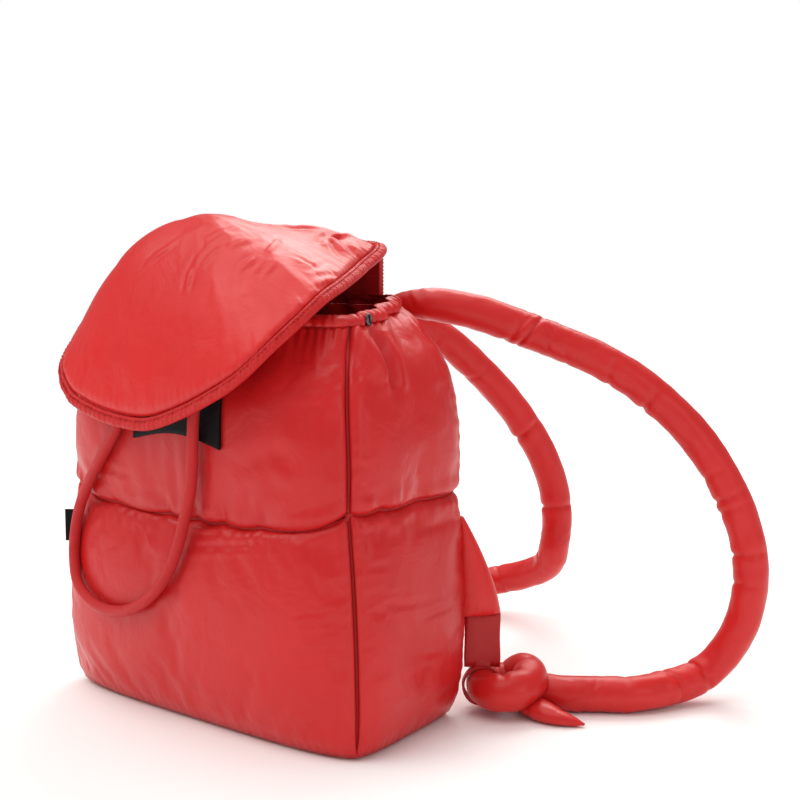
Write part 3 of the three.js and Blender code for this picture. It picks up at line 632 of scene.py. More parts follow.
BODY_FOLDS = (
    *streaks((((112, -30, 277), (137, -28, 240)),), -5.0, 6.0, 0.2),
    *streaks((((120, -14, 270), (140, -17, 235)),), 5.2, 4.2, 0.5),
    *streaks((((121, -40, 266), (133, -46, 240)), ((128, 10, 262), (138, 4, 238))), 1.2, 4.0, 0.5),
    *streaks((((-112, -30, 277), (-137, -28, 240)), ((-118, 5, 270), (-138, 0, 240))), 2.6, 4.5, 0.5),
    *streaks((((85, -77, 145), (124, -67, 152)), ((13, -80, 139), (40, -79, 142)),
              ((-60, -78, 147), (-25, -80, 144))), -0.9, 2.2, 0.5),
    *streaks((((121, -77, 88), (133, -69, 91)), ((129, -73, 64), (137, -67, 69)),
              ((116, -78, 100), (133, -68, 104)), ((105, -82, 91), (120, -77, 96)),
              ((138, -55, 182), (142, -49, 181)), ((136, -57, 178), (138, -55, 189)),
              ((138, -54, 198), (142, -49, 194)), ((139, -56, 140), (142, -51, 141)),
              ((145, -57, 72), (148, -52, 74)), ((145, -54, 101), (147, -45, 102)),
              ((145, -56, 81), (148, -52, 82)), ((149, -41, 105), (149, -26, 105))), -0.5, 1.3, 0.6),
    *streaks((((139, -58, 128), (147, -31, 125)), ((150, -37, 100), (147, 4, 95)),
              ((149, -5, 85), (142, 43, 86)), ((148, -20, 60), (146, 20, 52)),
              ((6, -83, 126), (87, -78, 138)), ((-83, -81, 172), (-48, -83, 169))), 0.7, 2.4, 0.6),
    *streaks((((-139, -58, 128), (-147, -31, 125)), ((-150, -30, 100), (-147, 14, 92)),
              ((-146, 0, 60), (-142, 40, 66)), ((60, 74, 90), (110, 70, 84)),
              ((-40, 74, 120), (-100, 72, 112)),
              ((-20, 72, 60), (40, 72, 52)), ((-30, 72, 220), (30, 72, 214))), 1.0, 3.0, 0.6),
    *streaks((((88, -81, 200), (110, -77, 189)), ((50, -85, 184), (112, -74, 204))), 0.8, 6.0, 0.5),
)


class Workshop:
    """What every sub-assembly uses: finishes, copies of the frame's solids and riding."""

    SHARP = math.radians(48)
    HOLD = 0.85
    MERGE = 0.02 * MM
    QUAD_LIMIT = math.radians(60)
    THREAD_SIDES = 6
    STITCH_ARCH = ((0.0, -0.6), (0.12, 0.4), (0.36, 0.9), (0.6, 0.4), (0.72, -0.6))

    def __init__(self, nodes: dict[str, bpy.types.Object]) -> None:
        """Keeps the frame's nodes and makes the finishes.

        Args:
            nodes: The frame's solids by name.
        """
        self.nodes = nodes
        self.body = NylonFinish("body_nylon", Tone.BODY, Tone.BODY_DEEP).make()
        self.flap = NylonFinish("flap_nylon", Tone.FLAP, Tone.FLAP_DEEP, 0.33, 0.0015,
                                streak_turn=(0.3, 0.2, -0.5)).make()
        self.strap = NylonFinish("strap_nylon", Tone.STRAP, Tone.STRAP_DEEP, 0.37, 0.0011).make()
        self.binding = WebbingFinish("binding_cloth", Tone.BODY, Tone.BODY_DEEP, 300.0, 0.48).make()
        self.band = NylonFinish("band_cloth", Tone.BAND, Tone.BAND_DEEP, 0.42, 0.0007).make()
        # Darker seam nylon: painted shade for the seam grooves.
        self.lining = NylonFinish("seam_shadow", Tone.LINING, Tone.LINING, 0.6, 0.0007).make()
        self.black = WebbingFinish("black_cloth", Tone.BLACK_LIFTED, Tone.BLACK, 420.0, 0.42, 0.12).make()
        self.thread = WebbingFinish("sewing_thread", Tone.BODY, Tone.BODY_DEEP, 900.0, 0.5).make()
        self.braid = BraidFinish("cord_braid", Tone.CORD, Tone.CORD_DEEP).make()
        self.metal = MetalFinish("gunmetal", Tone.GUNMETAL).make()

    def copy_solid(self, node: str, name: str, levels: int, smooth: bool = True) -> bpy.types.Object:
        """Copies a frame solid into a new piece and refines it.

        Args:
            node: The frame node that the piece starts from.
            name: The new piece's name.
            levels: How often each face is divided.
            smooth: Whether dividing also rounds the shape.

        Returns:
            The refined copy.
        """
        piece = bpy.data.objects.new(name, self.nodes[node].data.copy())
        bpy.context.scene.collection.objects.link(piece)
        piece.data.materials.clear()
        select_only(piece)
        bpy.ops.object.mode_set(mode="EDIT")
        bpy.ops.mesh.select_all(action="SELECT")
        bpy.ops.mesh.remove_doubles(threshold=self.MERGE)
        bpy.ops.mesh.tris_convert_to_quads(face_threshold=self.QUAD_LIMIT, shape_threshold=self.QUAD_LIMIT)
        bpy.ops.mesh.select_all(action="DESELECT")
        bpy.ops.mesh.edges_select_sharp(sharpness=self.SHARP)
        bpy.ops.transform.edge_crease(value=self.HOLD)
        bpy.ops.object.mode_set(mode="OBJECT")
        kind = "CATMULL_CLARK" if smooth else "SIMPLE"
        if levels:
            apply_modifier(piece, "SUBSURF", subdivision_type=kind, levels=levels, render_levels=levels)
        return piece

    def stitch_row(self, name: str, line: np.ndarray, normals: np.ndarray, spacing: float, radius: float,
                   slot: str) -> None:
        """Lays a row of short thread stitches along a closed line.

        Args:
            name: The piece's name.
            line: Points of the line, without a doubled end.
            normals: The way that the cloth faces at each of them.
            spacing: The distance from one stitch to the next.
            radius: The thread's radius.
            slot: The record's slot for the thread.
        """
        wide = np.vstack([line, line[:1]])
        facing = np.vstack([normals, normals[:1]])
        distances = travelled(wide)
        points, faces = [], []
        sides = self.THREAD_SIDES
        rings = len(self.STITCH_ARCH)
        angle = np.linspace(0, 2 * np.pi, sides, endpoint=False)
        for start in np.arange(0, distances[-1] - spacing, spacing):
            base = len(points)
            for share, rise in self.STITCH_ARCH:
                at = start + share * spacing
                centre = at_distances(wide, distances, at)
                out = at_distances(facing, distances, at)
                ahead = at_distances(wide, distances, at + 0.5 * MM) - centre
                across = np.cross(out, ahead / np.linalg.norm(ahead))
                centre = centre + out * rise * radius
                points.extend(centre + radius * (math.cos(a) * out + math.sin(a) * across) for a in angle)
            faces.extend(grid_faces(rings, sides, base, False, True).tolist())
            faces.append(tuple(base + side for side in reversed(range(sides))))
            faces.append(tuple(base + (rings - 1) * sides + side for side in range(sides)))
        piece = mesh_piece(name, np.array(points), faces)
        face_outward(piece)
        self.finish(piece, self.thread, slot)

    def finish(self, piece: bpy.types.Object, material: bpy.types.Material, slot: str, *nodes: str) -> None:
        """Gives a piece its finish and lets it ride on the bag.

        Args:
            piece: The finished piece.
            material: What it is made of.
            slot: The record's slot for that material; not used.
            *nodes: The frame nodes that it stands for.
        """
        piece.data.materials.clear()
        piece.data.materials.append(material)
        for face in piece.data.polygons:
            face.use_smooth = True
            face.material_index = 0
        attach(piece, ROOT)
        if nodes:
            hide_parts(*nodes)
        LOG.info("%s: %d faces", piece.name, len(piece.data.polygons))


CURVE_SAMPLES = 40
BEND_SPAN = 9
STEER = 0.25


def curve_points(corners: np.ndarray, step: float, closed: bool = False) -> np.ndarray:
    """Follows a smooth centripetal curve through corners at even steps.

    Args:
        corners: The points that the curve goes through.
        step: The distance between two results.
        closed: Whether the curve joins its own start.

    Returns:
        Points along the curve.
    """
    if closed:
        ends = np.vstack([corners[-1], corners, corners[0], corners[1]])
    else:
        ends = np.vstack([2 * corners[0] - corners[1], corners, 2 * corners[-1] - corners[-2]])
    dense = []
    for p0, p1, p2, p3 in zip(ends, ends[1:], ends[2:], ends[3:]):
        t1 = np.linalg.norm(p1 - p0) ** 0.5
        t2 = t1 + np.linalg.norm(p2 - p1) ** 0.5
        t3 = t2 + np.linalg.norm(p3 - p2) ** 0.5
        t = np.linspace(t1, t2, CURVE_SAMPLES, endpoint=False)[:, None]
        a1 = (t1 - t) / t1 * p0 + t / t1 * p1
        a2 = (t2 - t) / (t2 - t1) * p1 + (t - t1) / (t2 - t1) * p2
        a3 = (t3 - t) / (t3 - t2) * p2 + (t - t2) / (t3 - t2) * p3
        b1 = (t2 - t) / t2 * a1 + t / t2 * a2
        b2 = (t3 - t) / (t3 - t1) * a2 + (t - t1) / (t3 - t1) * a3
        dense.append((t2 - t) / (t2 - t1) * b1 + (t - t1) / (t2 - t1) * b2)
    line = np.vstack([*dense, corners[0 if closed else -1]])
    distances = travelled(line)
    count = max(8, round(distances[-1] / step))
    return at_distances(line, distances, np.linspace(0, distances[-1], count + 1))


def sweep_tube(name: str, line: np.ndarray, radius_at: Callable[[np.ndarray, np.ndarray], np.ndarray],
               sides: int, flatness: float = 1.0) -> bpy.types.Object:
    """Sweeps a round section along a line, with rounded closed ends and a UV map.

    Args:
        name: The new piece's name.
        line: Evenly spaced points of the centreline.
        radius_at: Gives radii for distances along the line and angles round it. The angle
            is 0 on the inside of the bend.
        sides: Points round the section.
        flatness: The section's height over its width.

    Returns:
        The tube.
    """
    tangents = unit(np.gradient(line, axis=0))
    bends = smooth_rows(np.gradient(tangents, axis=0), BEND_SPAN)
    distances = travelled(line)
    inward = bends[len(bends) // 2]
    frames = []
    for tangent, bend in zip(tangents, bends):
        size = np.linalg.norm(bend)
        inward = inward + (bend / size * STEER if size > 1e-5 else 0)
        inward = inward - tangent * (inward @ tangent)
        inward = inward / np.linalg.norm(inward)
        frames.append(inward)
    frames = np.array(frames)
    across = np.cross(tangents, frames)
    angles = np.linspace(0, 2 * math.pi, sides, endpoint=False)
    radii = radius_at(distances[:, None], angles[None, :])
    cosines, sines = np.cos(angles)[None, :, None], np.sin(angles)[None, :, None]
    directions = cosines * frames[:, None, :] + sines * across[:, None, :]
    rings = line[:, None, :] + radii[:, :, None] * directions
    rings[:, :, 2] = line[:, None, 2] + (rings[:, :, 2] - line[:, None, 2]) * flatness
    count = len(line)
    points = np.vstack([rings.reshape(-1, 3), line[:1], line[-1:]])
    faces: list[Sequence[int]] = grid_faces(count, sides, 0, False, True).tolist()
    last = (count - 1) * sides
    for side in range(sides):
        turn = (side + 1) % sides
        faces.append((count * sides, turn, side))
        faces.append((count * sides + 1, last + side, last + turn))
    piece = mesh_piece(name, points, faces)
    mesh = piece.data
    layer = mesh.uv_layers.new(name="UVMap")
    girth = 2 * math.pi * float(np.median(radii))
    for face in mesh.polygons:
        for loop in face.loop_indices:
            index = mesh.loops[loop].vertex_index
            side = index % sides
            if index >= count * sides:
                layer.data[loop].uv = (0.0, 0.0)
                continue
            wrap = sides if side == 0 and any(v % sides == sides - 1 for v in face.vertices) else 0
            layer.data[loop].uv = ((side + wrap) / sides, distances[index // sides] / girth)
    face_outward(piece)
    return piece


def smooth_rows(rows: np.ndarray, span: int) -> np.ndarray:
    """Averages each row with its neighbours along a line.

    Args:
        rows: Rows of three values.
        span: How many rows go into each average.

    Returns:
        As many rows, smoothed.
    """
    kernel = np.ones(span) / span
    padded = np.pad(rows, ((span // 2, span // 2), (0, 0)), mode="edge")
    return np.stack([np.convolve(padded[:, axis], kernel, mode="valid") for axis in range(3)], axis=1)


def flat_radius(radius: float) -> Callable[[np.ndarray, np.ndarray], np.ndarray]:
    """Gives a radius rule that is the same all along a tube."""
    return lambda along, angle: np.full(np.broadcast_shapes(along.shape, angle.shape), radius)


def face_outward(piece: bpy.types.Object) -> None:
    """Turns every face of a closed piece outward.

    Args:
        piece: The closed piece.
    """
    select_only(piece)
    bpy.ops.object.mode_set(mode="EDIT")
    bpy.ops.mesh.select_all(action="SELECT")
    bpy.ops.mesh.normals_make_consistent(inside=False)
    bpy.ops.object.mode_set(mode="OBJECT")


MOUTH_HEIGHT = 276 * MM
HALF_WIDTH = 140 * MM
HALF_DEPTH = 58 * MM
BASE_THICKNESS = 8 * MM
SEAM_HEIGHT = 160 * MM
MOUTH_RISE = 9 * MM
CASING_HEIGHT = 8 * MM
SEAM_GAP = 0.3 * MM
PANEL_EDGE_WALL = 3 * MM
PANEL_WALL = 12 * MM
SEAM_SAG = 15 * MM
END_CROWDING = 0.06
MITRE_SHARE = 1 / 7
SECTION_SOFTENING = 0.12
SECTION_SAMPLES = 9
TIER_ROUNDING = 0.7
BACK_BASE_PUFF = 0.5
SIDE_FRONT_SWELL = 1.25
SIDE_BACK_SWELL = 0.75
GATHER_GROWTH = 4
SAG_GROWTH = 1.5


def mix(low: np.ndarray | float, high: np.ndarray | float, share: np.ndarray | float) -> np.ndarray | float:
    """Blends two values by a share."""
    return low + (high - low) * share


def puff_profile(share: np.ndarray) -> np.ndarray:
    """Full in the middle and quickly down at both seams."""
    return np.maximum(1 - np.abs(2 * share - 1) ** 4, 0) ** 0.6


@dataclass(frozen=True)
class Tier:
    """One storey of padded walls: its plan corners at shares of its height, and its swell."""

    name: str
    sections: tuple[tuple[float, float, float, float, float], ...]
    bottom: float
    top: float
    rise: float
    bottom_puff: float
    top_puff: float
    gather: float

    def corner(self, share: np.ndarray, front: bool, side: int) -> np.ndarray:
        """Gives a plan corner of the bag at shares of this storey's height.

        Args:
            share: Shares of the storey's height.
            front: Whether it is a front corner.
            side: 1 for the right corner and -1 for the left.

        Returns:
            The x and y of the corner at each share.
        """
        table = np.array(self.sections)
        first = 1 if front else 3
        reach = np.minimum(np.minimum(share, 1 - share), SECTION_SOFTENING)
        places = [share + shift * reach for shift in np.linspace(-1, 1, SECTION_SAMPLES)]
        across = np.mean([np.interp(place, table[:, 0], table[:, first]) for place in places], axis=0)
        along = np.mean([np.interp(place, table[:, 0], table[:, first + 1]) for place in places], axis=0)
        return np.stack([across * HALF_WIDTH * side, along * HALF_DEPTH * (-1 if front else 1)], axis=-1)


LOWER = Tier("lower", (
    (0.0, 0.99, 0.97, 0.9, 0.98), (0.08, 1.01, 1.01, 0.935, 1.02), (0.2, 1.02, 1.03, 0.95, 1.05),
    (0.5, 1.01, 1.03, 0.95, 1.06), (0.75, 0.99, 1.02, 0.94, 1.05), (0.93, 0.965, 1.0, 0.925, 1.04),
    (1.0, 0.95, 0.99, 0.91, 1.02),
), BASE_THICKNESS, SEAM_HEIGHT, 0.0, 0.55, 0.76, 0.0)
UPPER = Tier("upper", (
    (0.0, 0.95, 0.99, 0.91, 1.02), (0.08, 0.96, 1.0, 0.922, 1.04), (0.3, 0.96, 1.0, 0.925, 1.05),
    (0.55, 0.935, 0.96, 0.895, 1.05), (0.7, 0.91, 0.9, 0.845, 1.06), (0.83, 0.87, 0.78, 0.76, 1.07),
    (0.93, 0.83, 0.65, 0.64, 1.08), (1.0, 0.8, 0.55, 0.5, 1.08),
), SEAM_HEIGHT, MOUTH_HEIGHT, MOUTH_RISE, 0.76, 0.95, 3 * MM)


@dataclass(frozen=True)
class Face:
    """One face of the bag, from its first corner to its second."""

    node: str
    start: tuple[bool, int]
    end: tuple[bool, int]
    puff: float
    width: float
    folds: int

    @property
    def is_end(self) -> bool:
        """Whether this is the front or the back."""
        return self.start[0] == self.end[0]

    def depth_share(self, across: np.ndarray) -> np.ndarray:
        """How far along the bag's depth a place on the face lies, from 0 at the front.

        Args:
            across: Shares across the face.

        Returns:
            One share of the depth for each.
        """
        if self.is_end:
            return np.full_like(across, 0.0 if self.start[0] else 1.0)
        return across if self.start[0] else 1 - across

    def surface(self, tier: Tier, across: np.ndarray, up: np.ndarray) -> tuple[np.ndarray, np.ndarray]:
        """Works out places on the bag's outer surface.

        Args:
            tier: The storey.
            across: Shares across the face.
            up: Shares up the storey.

        Returns:
            The points and the outward directions.
        """
        start = tier.corner(up, *self.start)
        end = tier.corner(up, *self.end)
        chord = end - start
        chord = chord / np.linalg.norm(chord, axis=-1, keepdims=True)
        outward = np.stack([chord[..., 1], -chord[..., 0]], axis=-1)
        rounding = np.sin(np.pi * np.clip(up, 0, 1)) ** TIER_ROUNDING
        is_back = self.is_end and not self.start[0]
        edge = mix(tier.bottom_puff, tier.top_puff, up)
        fullness = mix(BACK_BASE_PUFF * (1 - up) if is_back else edge, 1, rounding)
        depth = self.depth_share(across)
        lean = 1.0 if self.is_end else mix(SIDE_FRONT_SWELL, SIDE_BACK_SWELL, depth)
        bulge = self.puff * fullness * lean * puff_profile(across)
        folds = tier.gather * np.cos(2 * np.pi * self.folds * across)
        bulge = bulge + folds * up ** GATHER_GROWTH * puff_profile(across)
        plan = start + (end - start) * across[..., None] + outward * bulge[..., None]
        sag = SEAM_SAG * puff_profile(across) if self.is_end and not is_back else 0.0
        seam_share = up if tier is LOWER else 1 - up
        level = mix(tier.bottom, tier.top, up) + tier.rise * up ** 2 * depth
        height = level - sag * seam_share ** SAG_GROWTH
        points = np.concatenate([plan, height[..., None]], axis=-1)
        return points, np.concatenate([outward, np.zeros_like(height)[..., None]], axis=-1)


FRONT = Face("front_panel", (True, -1), (True, 1), 28 * MM, 280 * MM, 6)
RIGHT = Face("side_panel_right", (True, 1), (False, 1), 11 * MM, 116 * MM, 3)
BACK = Face("back_panel", (False, 1), (False, -1), 10 * MM, 280 * MM, 6)
LEFT = Face("side_panel_left", (False, -1), (True, -1), 11 * MM, 116 * MM, 3)
FACES = (FRONT, RIGHT, BACK, LEFT)
TIERS = (LOWER, UPPER)


def grid_faces(rows: int, columns: int, offset: int, flipped: bool, closed: bool = False) -> np.ndarray:
    """Lists the faces of a grid of points.

    Args:
        rows: The grid's rows.
        columns: The grid's columns.
        offset: The index of its first point.
        flipped: Whether the faces turn the other way.
        closed: Whether the last column joins the first.

    Returns:
        Four point indices for each face.
    """
    steps = np.arange(columns if closed else columns - 1)
    row, column = np.meshgrid(np.arange(rows - 1), steps, indexing="ij")
    turn = (column + 1) % columns
    faces = np.stack([row * columns + column, row * columns + turn, (row + 1) * columns + turn,
                      (row + 1) * columns + column], axis=-1).reshape(-1, 4) + offset
    return faces[:, ::-1] if flipped else faces


def ring_faces(count: int, sides: int) -> np.ndarray:
    """Lists the faces of a tube of rings whose last ring joins its first."""
    faces = grid_faces(count + 1, sides, 0, False, True)
    return np.where(faces >= count * sides, faces - count * sides, faces)


def mesh_piece(name: str, points: np.ndarray, faces: np.ndarray | list) -> bpy.types.Object:
    """Makes an object from points and faces.

    Args:
        name: The piece's name.
        points: Rows of x, y and z.
        faces: Point indices of each face.

    Returns:
        The new object, linked to the scene.
    """
    mesh = bpy.data.meshes.new(name)
    mesh.from_pydata(points.tolist(), [], [list(map(int, face)) for face in faces])
    piece = bpy.data.objects.new(name, mesh)
    bpy.context.scene.collection.objects.link(piece)
    return piece


def shell_faces(rows: int, columns: int) -> np.ndarray:
    """Lists the faces of a closed shell: outer grid, inner grid and the four edges between.

    Args:
        rows: The rows of each grid.
        columns: The columns of each grid.

    Returns:
        Four point indices for each face.
    """
    inner = rows * columns
    top = np.arange(columns - 1)
    side = np.arange(rows - 1)
    first, last = 0, (rows - 1) * columns
    walls = [
        np.stack([top + 1, top, inner + top, inner + top + 1], axis=1) + first,
        np.stack([last + top, last + top + 1, inner + last + top + 1, inner + last + top], axis=1),
        np.stack([side * columns, (side + 1) * columns, inner + (side + 1) * columns, inner + side * columns],
                 axis=1),
        np.stack([(side + 2) * columns - 1, (side + 1) * columns - 1, inner + (side + 1) * columns - 1,
                  inner + (side + 2) * columns - 1], axis=1),
    ]
    return np.vstack([grid_faces(rows, columns, 0, False), grid_faces(rows, columns, inner, True), *walls])


def grid_normals(grid: np.ndarray, closed: bool = False) -> np.ndarray:
    """Gives the unit normals of a grid of points, on the side that its rows turn left to.

    Args:
        grid: Rows and columns of points.
        closed: Whether the last column joins the first.

    Returns:
        One normal for each point.
    """
    down = np.gradient(grid, axis=0)
    if closed:
        wide = np.concatenate([grid[:, -1:], grid, grid[:, :1]], axis=1)
        along = np.gradient(wide, axis=1)[:, 1:-1]
    else:
        along = np.gradient(grid, axis=1)
    normal = np.cross(along, down)
    return normal / np.maximum(np.linalg.norm(normal, axis=-1, keepdims=True), 1e-12)


def resample(grid: np.ndarray, rows: np.ndarray, columns: np.ndarray, closed: bool = False) -> np.ndarray:
    """Reads a coarse grid of moves at finer places and rounds its steps off.

    Args:
        grid: Rows and columns of moves.
        rows: Places down the grid, from 0 to 1.
        columns: Places across it, from 0 to 1.
        closed: Whether the last column joins the first.

    Returns:
        The moves at each fine place.
    """
    if closed:
        grid = np.concatenate([grid, grid[:, :1]], axis=1)
    down = np.linspace(0, 1, grid.shape[0])
    along = np.linspace(0, 1, grid.shape[1])
    tall = np.stack([[np.interp(rows, down, grid[:, c, k]) for c in range(grid.shape[1])] for k in range(3)])
    fine = np.stack([[np.interp(columns, along, tall[k, :, r]) for r in range(len(rows))] for k in range(3)],
                    axis=-1)
    for axis, share in ((0, len(rows) / grid.shape[0]), (1, len(columns) / grid.shape[1])):
        span = max(1, round(share)) | 1
        kernel = np.hanning(span + 2)[1:-1]
        kernel /= kernel.sum()
        edge = [(0, 0), (0, 0), (0, 0)]
        edge[axis] = (span // 2, span // 2)
        wide = np.pad(fine, edge, mode="wrap" if closed and axis == 1 else "edge")
        fine = np.apply_along_axis(lambda line: np.convolve(line, kernel, mode="valid"), axis, wide)
    return fine


def rim_line(tier: Tier, level: float, count: int) -> tuple[np.ndarray, np.ndarray, np.ndarray]:
    """Follows the bag's outline right round at one level.

    Args:
        tier: The storey.
        level: The share of its height.
        count: The number of points on each face.

    Returns:
        The points, the outward directions and the distances along the line.
    """
    across = np.linspace(0, 1, count, endpoint=False)
    rim = np.vstack([face.surface(tier, across, np.full_like(across, level))[0] for face in FACES])
    ahead = np.roll(rim, -1, axis=0) - np.roll(rim, 1, axis=0)
    outward = np.stack([ahead[:, 1], -ahead[:, 0], np.zeros(len(rim))], axis=1)
    return rim, smooth_rows(unit(outward), 5), travelled(rim)


@dataclass
class BagBody:
    """The eight padded walls, the seams between them and the base."""

    BASE_ROUNDING = 9 * MM
    BASE_INSET = 0.6 * MM
    BASE_LIP = 2.2 * MM
    BASE_LEVELS = (0.0, 0.06, 0.15, 0.27, 0.42, 0.6, 0.8, 1.0)
    BASE_COLUMNS = 120
    BASE_GATHERS = Gathers(0.2 * MM, 9, 2, 33)
    HEM_TUCK = 4.5 * MM
    HEM_ROLL = 1.6 * MM
    CORNER_ROLL = 0.35 * MM
    CORNER_GATHERS = Gathers(0.3 * MM, 8.5, 2, 15)
    CORNER_LINE_DEPTH = 3.5 * MM
    SEAM_ROLL = 2.0 * MM
    SEAM_GATHERS = Gathers(0.42 * MM, 9.5, 2, 17)
    SEAM_LINE_DEPTH = 4.5 * MM
    SEAM_LINE_RADIUS = 1.7 * MM
    SEAM_LINE_STEP = 2 * MM
    SEAM_LINE_SIDES = 8
    SEAM_DROP = 2.2 * MM
    DROP_FREE_END = 0.06
    UPPER_SWELL = 2.8 * MM
    LOWER_SWELL = 0.7 * MM
    MOUTH_GATHERS = Gathers(0.8 * MM, 7.5, 1, 13)
    HEM_GATHERS = Gathers(0.15 * MM, 7.5, 1, 13)
    SCALLOP_LENGTH = 39 * MM
    SCALLOP_DRIFT = 26 * MM
    WALL_END = 0.02

    shop: Workshop
    step: float = 1.7 * MM
    coarse_step: float = 5.5 * MM
    stuffing: Stuffing = Stuffing(spare=0.035, keep_bulge=0.0, keep_wrinkles=0.5, cap=0.0022)
    folds: tuple[Fold, ...] = ()

    def skins(self, face: Face, tier: Tier, rows: int,
              columns: int) -> tuple[np.ndarray, np.ndarray, np.ndarray]:
        """Lays out the outer and inner skin of one wall.

        Args:
            face: The bag's face.
            tier: The storey.
            rows: Points up the wall.
            columns: Points across it.

        Returns:
            The outer grid, the inner grid and the outward directions.
        """
        trim = SEAM_GAP / face.width
        row_trim = SEAM_GAP / 2 / (tier.top - tier.bottom)
        share = np.linspace(0, 1, rows)
        up = mix(row_trim, 1.0 if tier is UPPER else 1 - row_trim, share)
        even = np.linspace(0, 1, columns)
        spread = even - END_CROWDING * np.sin(2 * np.pi * even)
        across = mix(trim, 1 - trim, spread)
        across_grid, up_grid = np.meshgrid(across, up)
        points, outward = face.surface(tier, across_grid, up_grid)
        rising = mix(self.WALL_END, 1 - self.WALL_END, share)
        middle = puff_profile(spread)[None, :] * puff_profile(rising)[:, None]
        wall = mix(PANEL_EDGE_WALL, PANEL_WALL, middle)
        mitre = np.maximum(0, 1 - spread / MITRE_SHARE) - np.maximum(0, 1 - (1 - spread) / MITRE_SHARE)
        along = np.stack([-outward[..., 1], outward[..., 0], np.zeros_like(wall)], axis=-1)
        inner = points + wall[..., None] * (along * mitre[None, :, None] - outward)
        return points, inner, outward

    def wrinkles(self, face: Face, tier: Tier, width: float, height: float) -> np.ndarray:
        """Blows up a coarse copy of the wall and reads how its cloth moved.

        Args:
            face: The bag's face.
            tier: The storey.
            width: The wall's width.
            height: The wall's height.

        Returns:
            A grid of moves.
        """
        rows = round(height / self.coarse_step)
        columns = round(width / self.coarse_step)
        outer, inner, _ = self.skins(face, tier, rows, columns)
        points = np.vstack([outer.reshape(-1, 3), inner.reshape(-1, 3)])
        piece = mesh_piece("pattern", points, shell_faces(rows, columns))
        row, column = np.divmod(np.arange(rows * columns), columns)
        border = np.minimum(np.minimum(row, rows - 1 - row), np.minimum(column, columns - 1 - column))
        held = np.concatenate([self.stuffing.held_near(border), np.ones(rows * columns)])
        moved = self.stuffing.blow_up(piece, held)[:rows * columns].reshape(rows, columns, 3)
        bpy.data.objects.remove(piece)
        return moved

    def scallops(self, along: np.ndarray) -> np.ndarray:
        """Gives the uneven swells between the pulls of the seam right round, from 0 to 1."""
        drift = 1.1 * np.sin(along / self.SCALLOP_DRIFT)
        return np.abs(np.sin(np.pi * along / self.SCALLOP_LENGTH + drift + 0.4)) ** 0.7

    def drop_between_pulls(self, face: Face, across: np.ndarray, share: np.ndarray) -> np.ndarray:
        """Gives how far the seam right round hangs down, less towards the corners."""
        ends = np.clip(np.minimum(share, 1 - share) / self.DROP_FREE_END, 0, 1)
        return self.SEAM_DROP * (self.scallops(across * face.width) - 0.5) * ends

    def seam_droop(self, face: Face, tier: Tier, points: np.ndarray, reach: float = 9) -> np.ndarray:
        """Works out how far the cloth beside the seam right round hangs down between its pulls.

        Args:
            face: The bag's face.
            tier: The storey.
            points: Rows and columns of its surface.
            reach: How far from the seam the droop dies out, in millimetres.

        Returns:
            One drop for each point.
        """
        share = np.linspace(0, 1, points.shape[1])
        even = share - END_CROWDING * np.sin(2 * np.pi * share)
        edge = points[-1 if tier is LOWER else 0]
        away = np.linalg.norm(points - edge[None], axis=2)
        return self.drop_between_pulls(face, even, share)[None, :] * fade(away, reach)

    def seam_relief(self, tier: Tier, points: np.ndarray, rng: np.random.Generator) -> np.ndarray:
        """Rolls the cloth in at the seams and gathers it beside them.

        Args:
            tier: The storey.
            points: The wall's outer grid.
            rng: The source of uneven gathers.

        Returns:
            How far each point moves outward.
        """
        along = travelled(points[len(points) // 2])
        up = travelled(points[:, points.shape[1] // 2])
        sides = np.minimum(along, along[-1] - along)[None, :]
        low, high = up[:, None], (up[-1] - up)[:, None]
        seam, hem = (high, low) if tier is LOWER else (low, high)
        line, level = along[None, :], up[:, None]
        phase = rng.uniform(0, 2 * np.pi, 6)
        roll = self.CORNER_ROLL * fade(sides, 1.2) + self.SEAM_ROLL * fade(seam, 2.6)
        swell = self.UPPER_SWELL if tier is UPPER else self.LOWER_SWELL
        swells = swell * (self.scallops(line) - 0.5) * fade(seam - 7 * MM, 6.5)
        patchy = 0.5 + 0.5 * np.sin(line / (21 * MM) + phase[3])
        share = patchy * fade(seam, 13) * np.clip(seam / (3 * MM), 0, 1)
        gathers = self.SEAM_GATHERS.height(line, phase[2]) * share
        patchy = 0.5 + 0.5 * np.sin(level / (19 * MM) + phase[5])
        share = patchy * fade(sides, 12) * np.clip(sides / (3 * MM), 0, 1)
        rungs = self.CORNER_GATHERS.height(level, phase[4]) * share
        hem_gathers = self.HEM_GATHERS if tier is LOWER else self.MOUTH_GATHERS
        hems = hem_gathers.height(line, phase[2]) * fade(hem, 13, 1.5)
        return swells + gathers + rungs + hems - roll

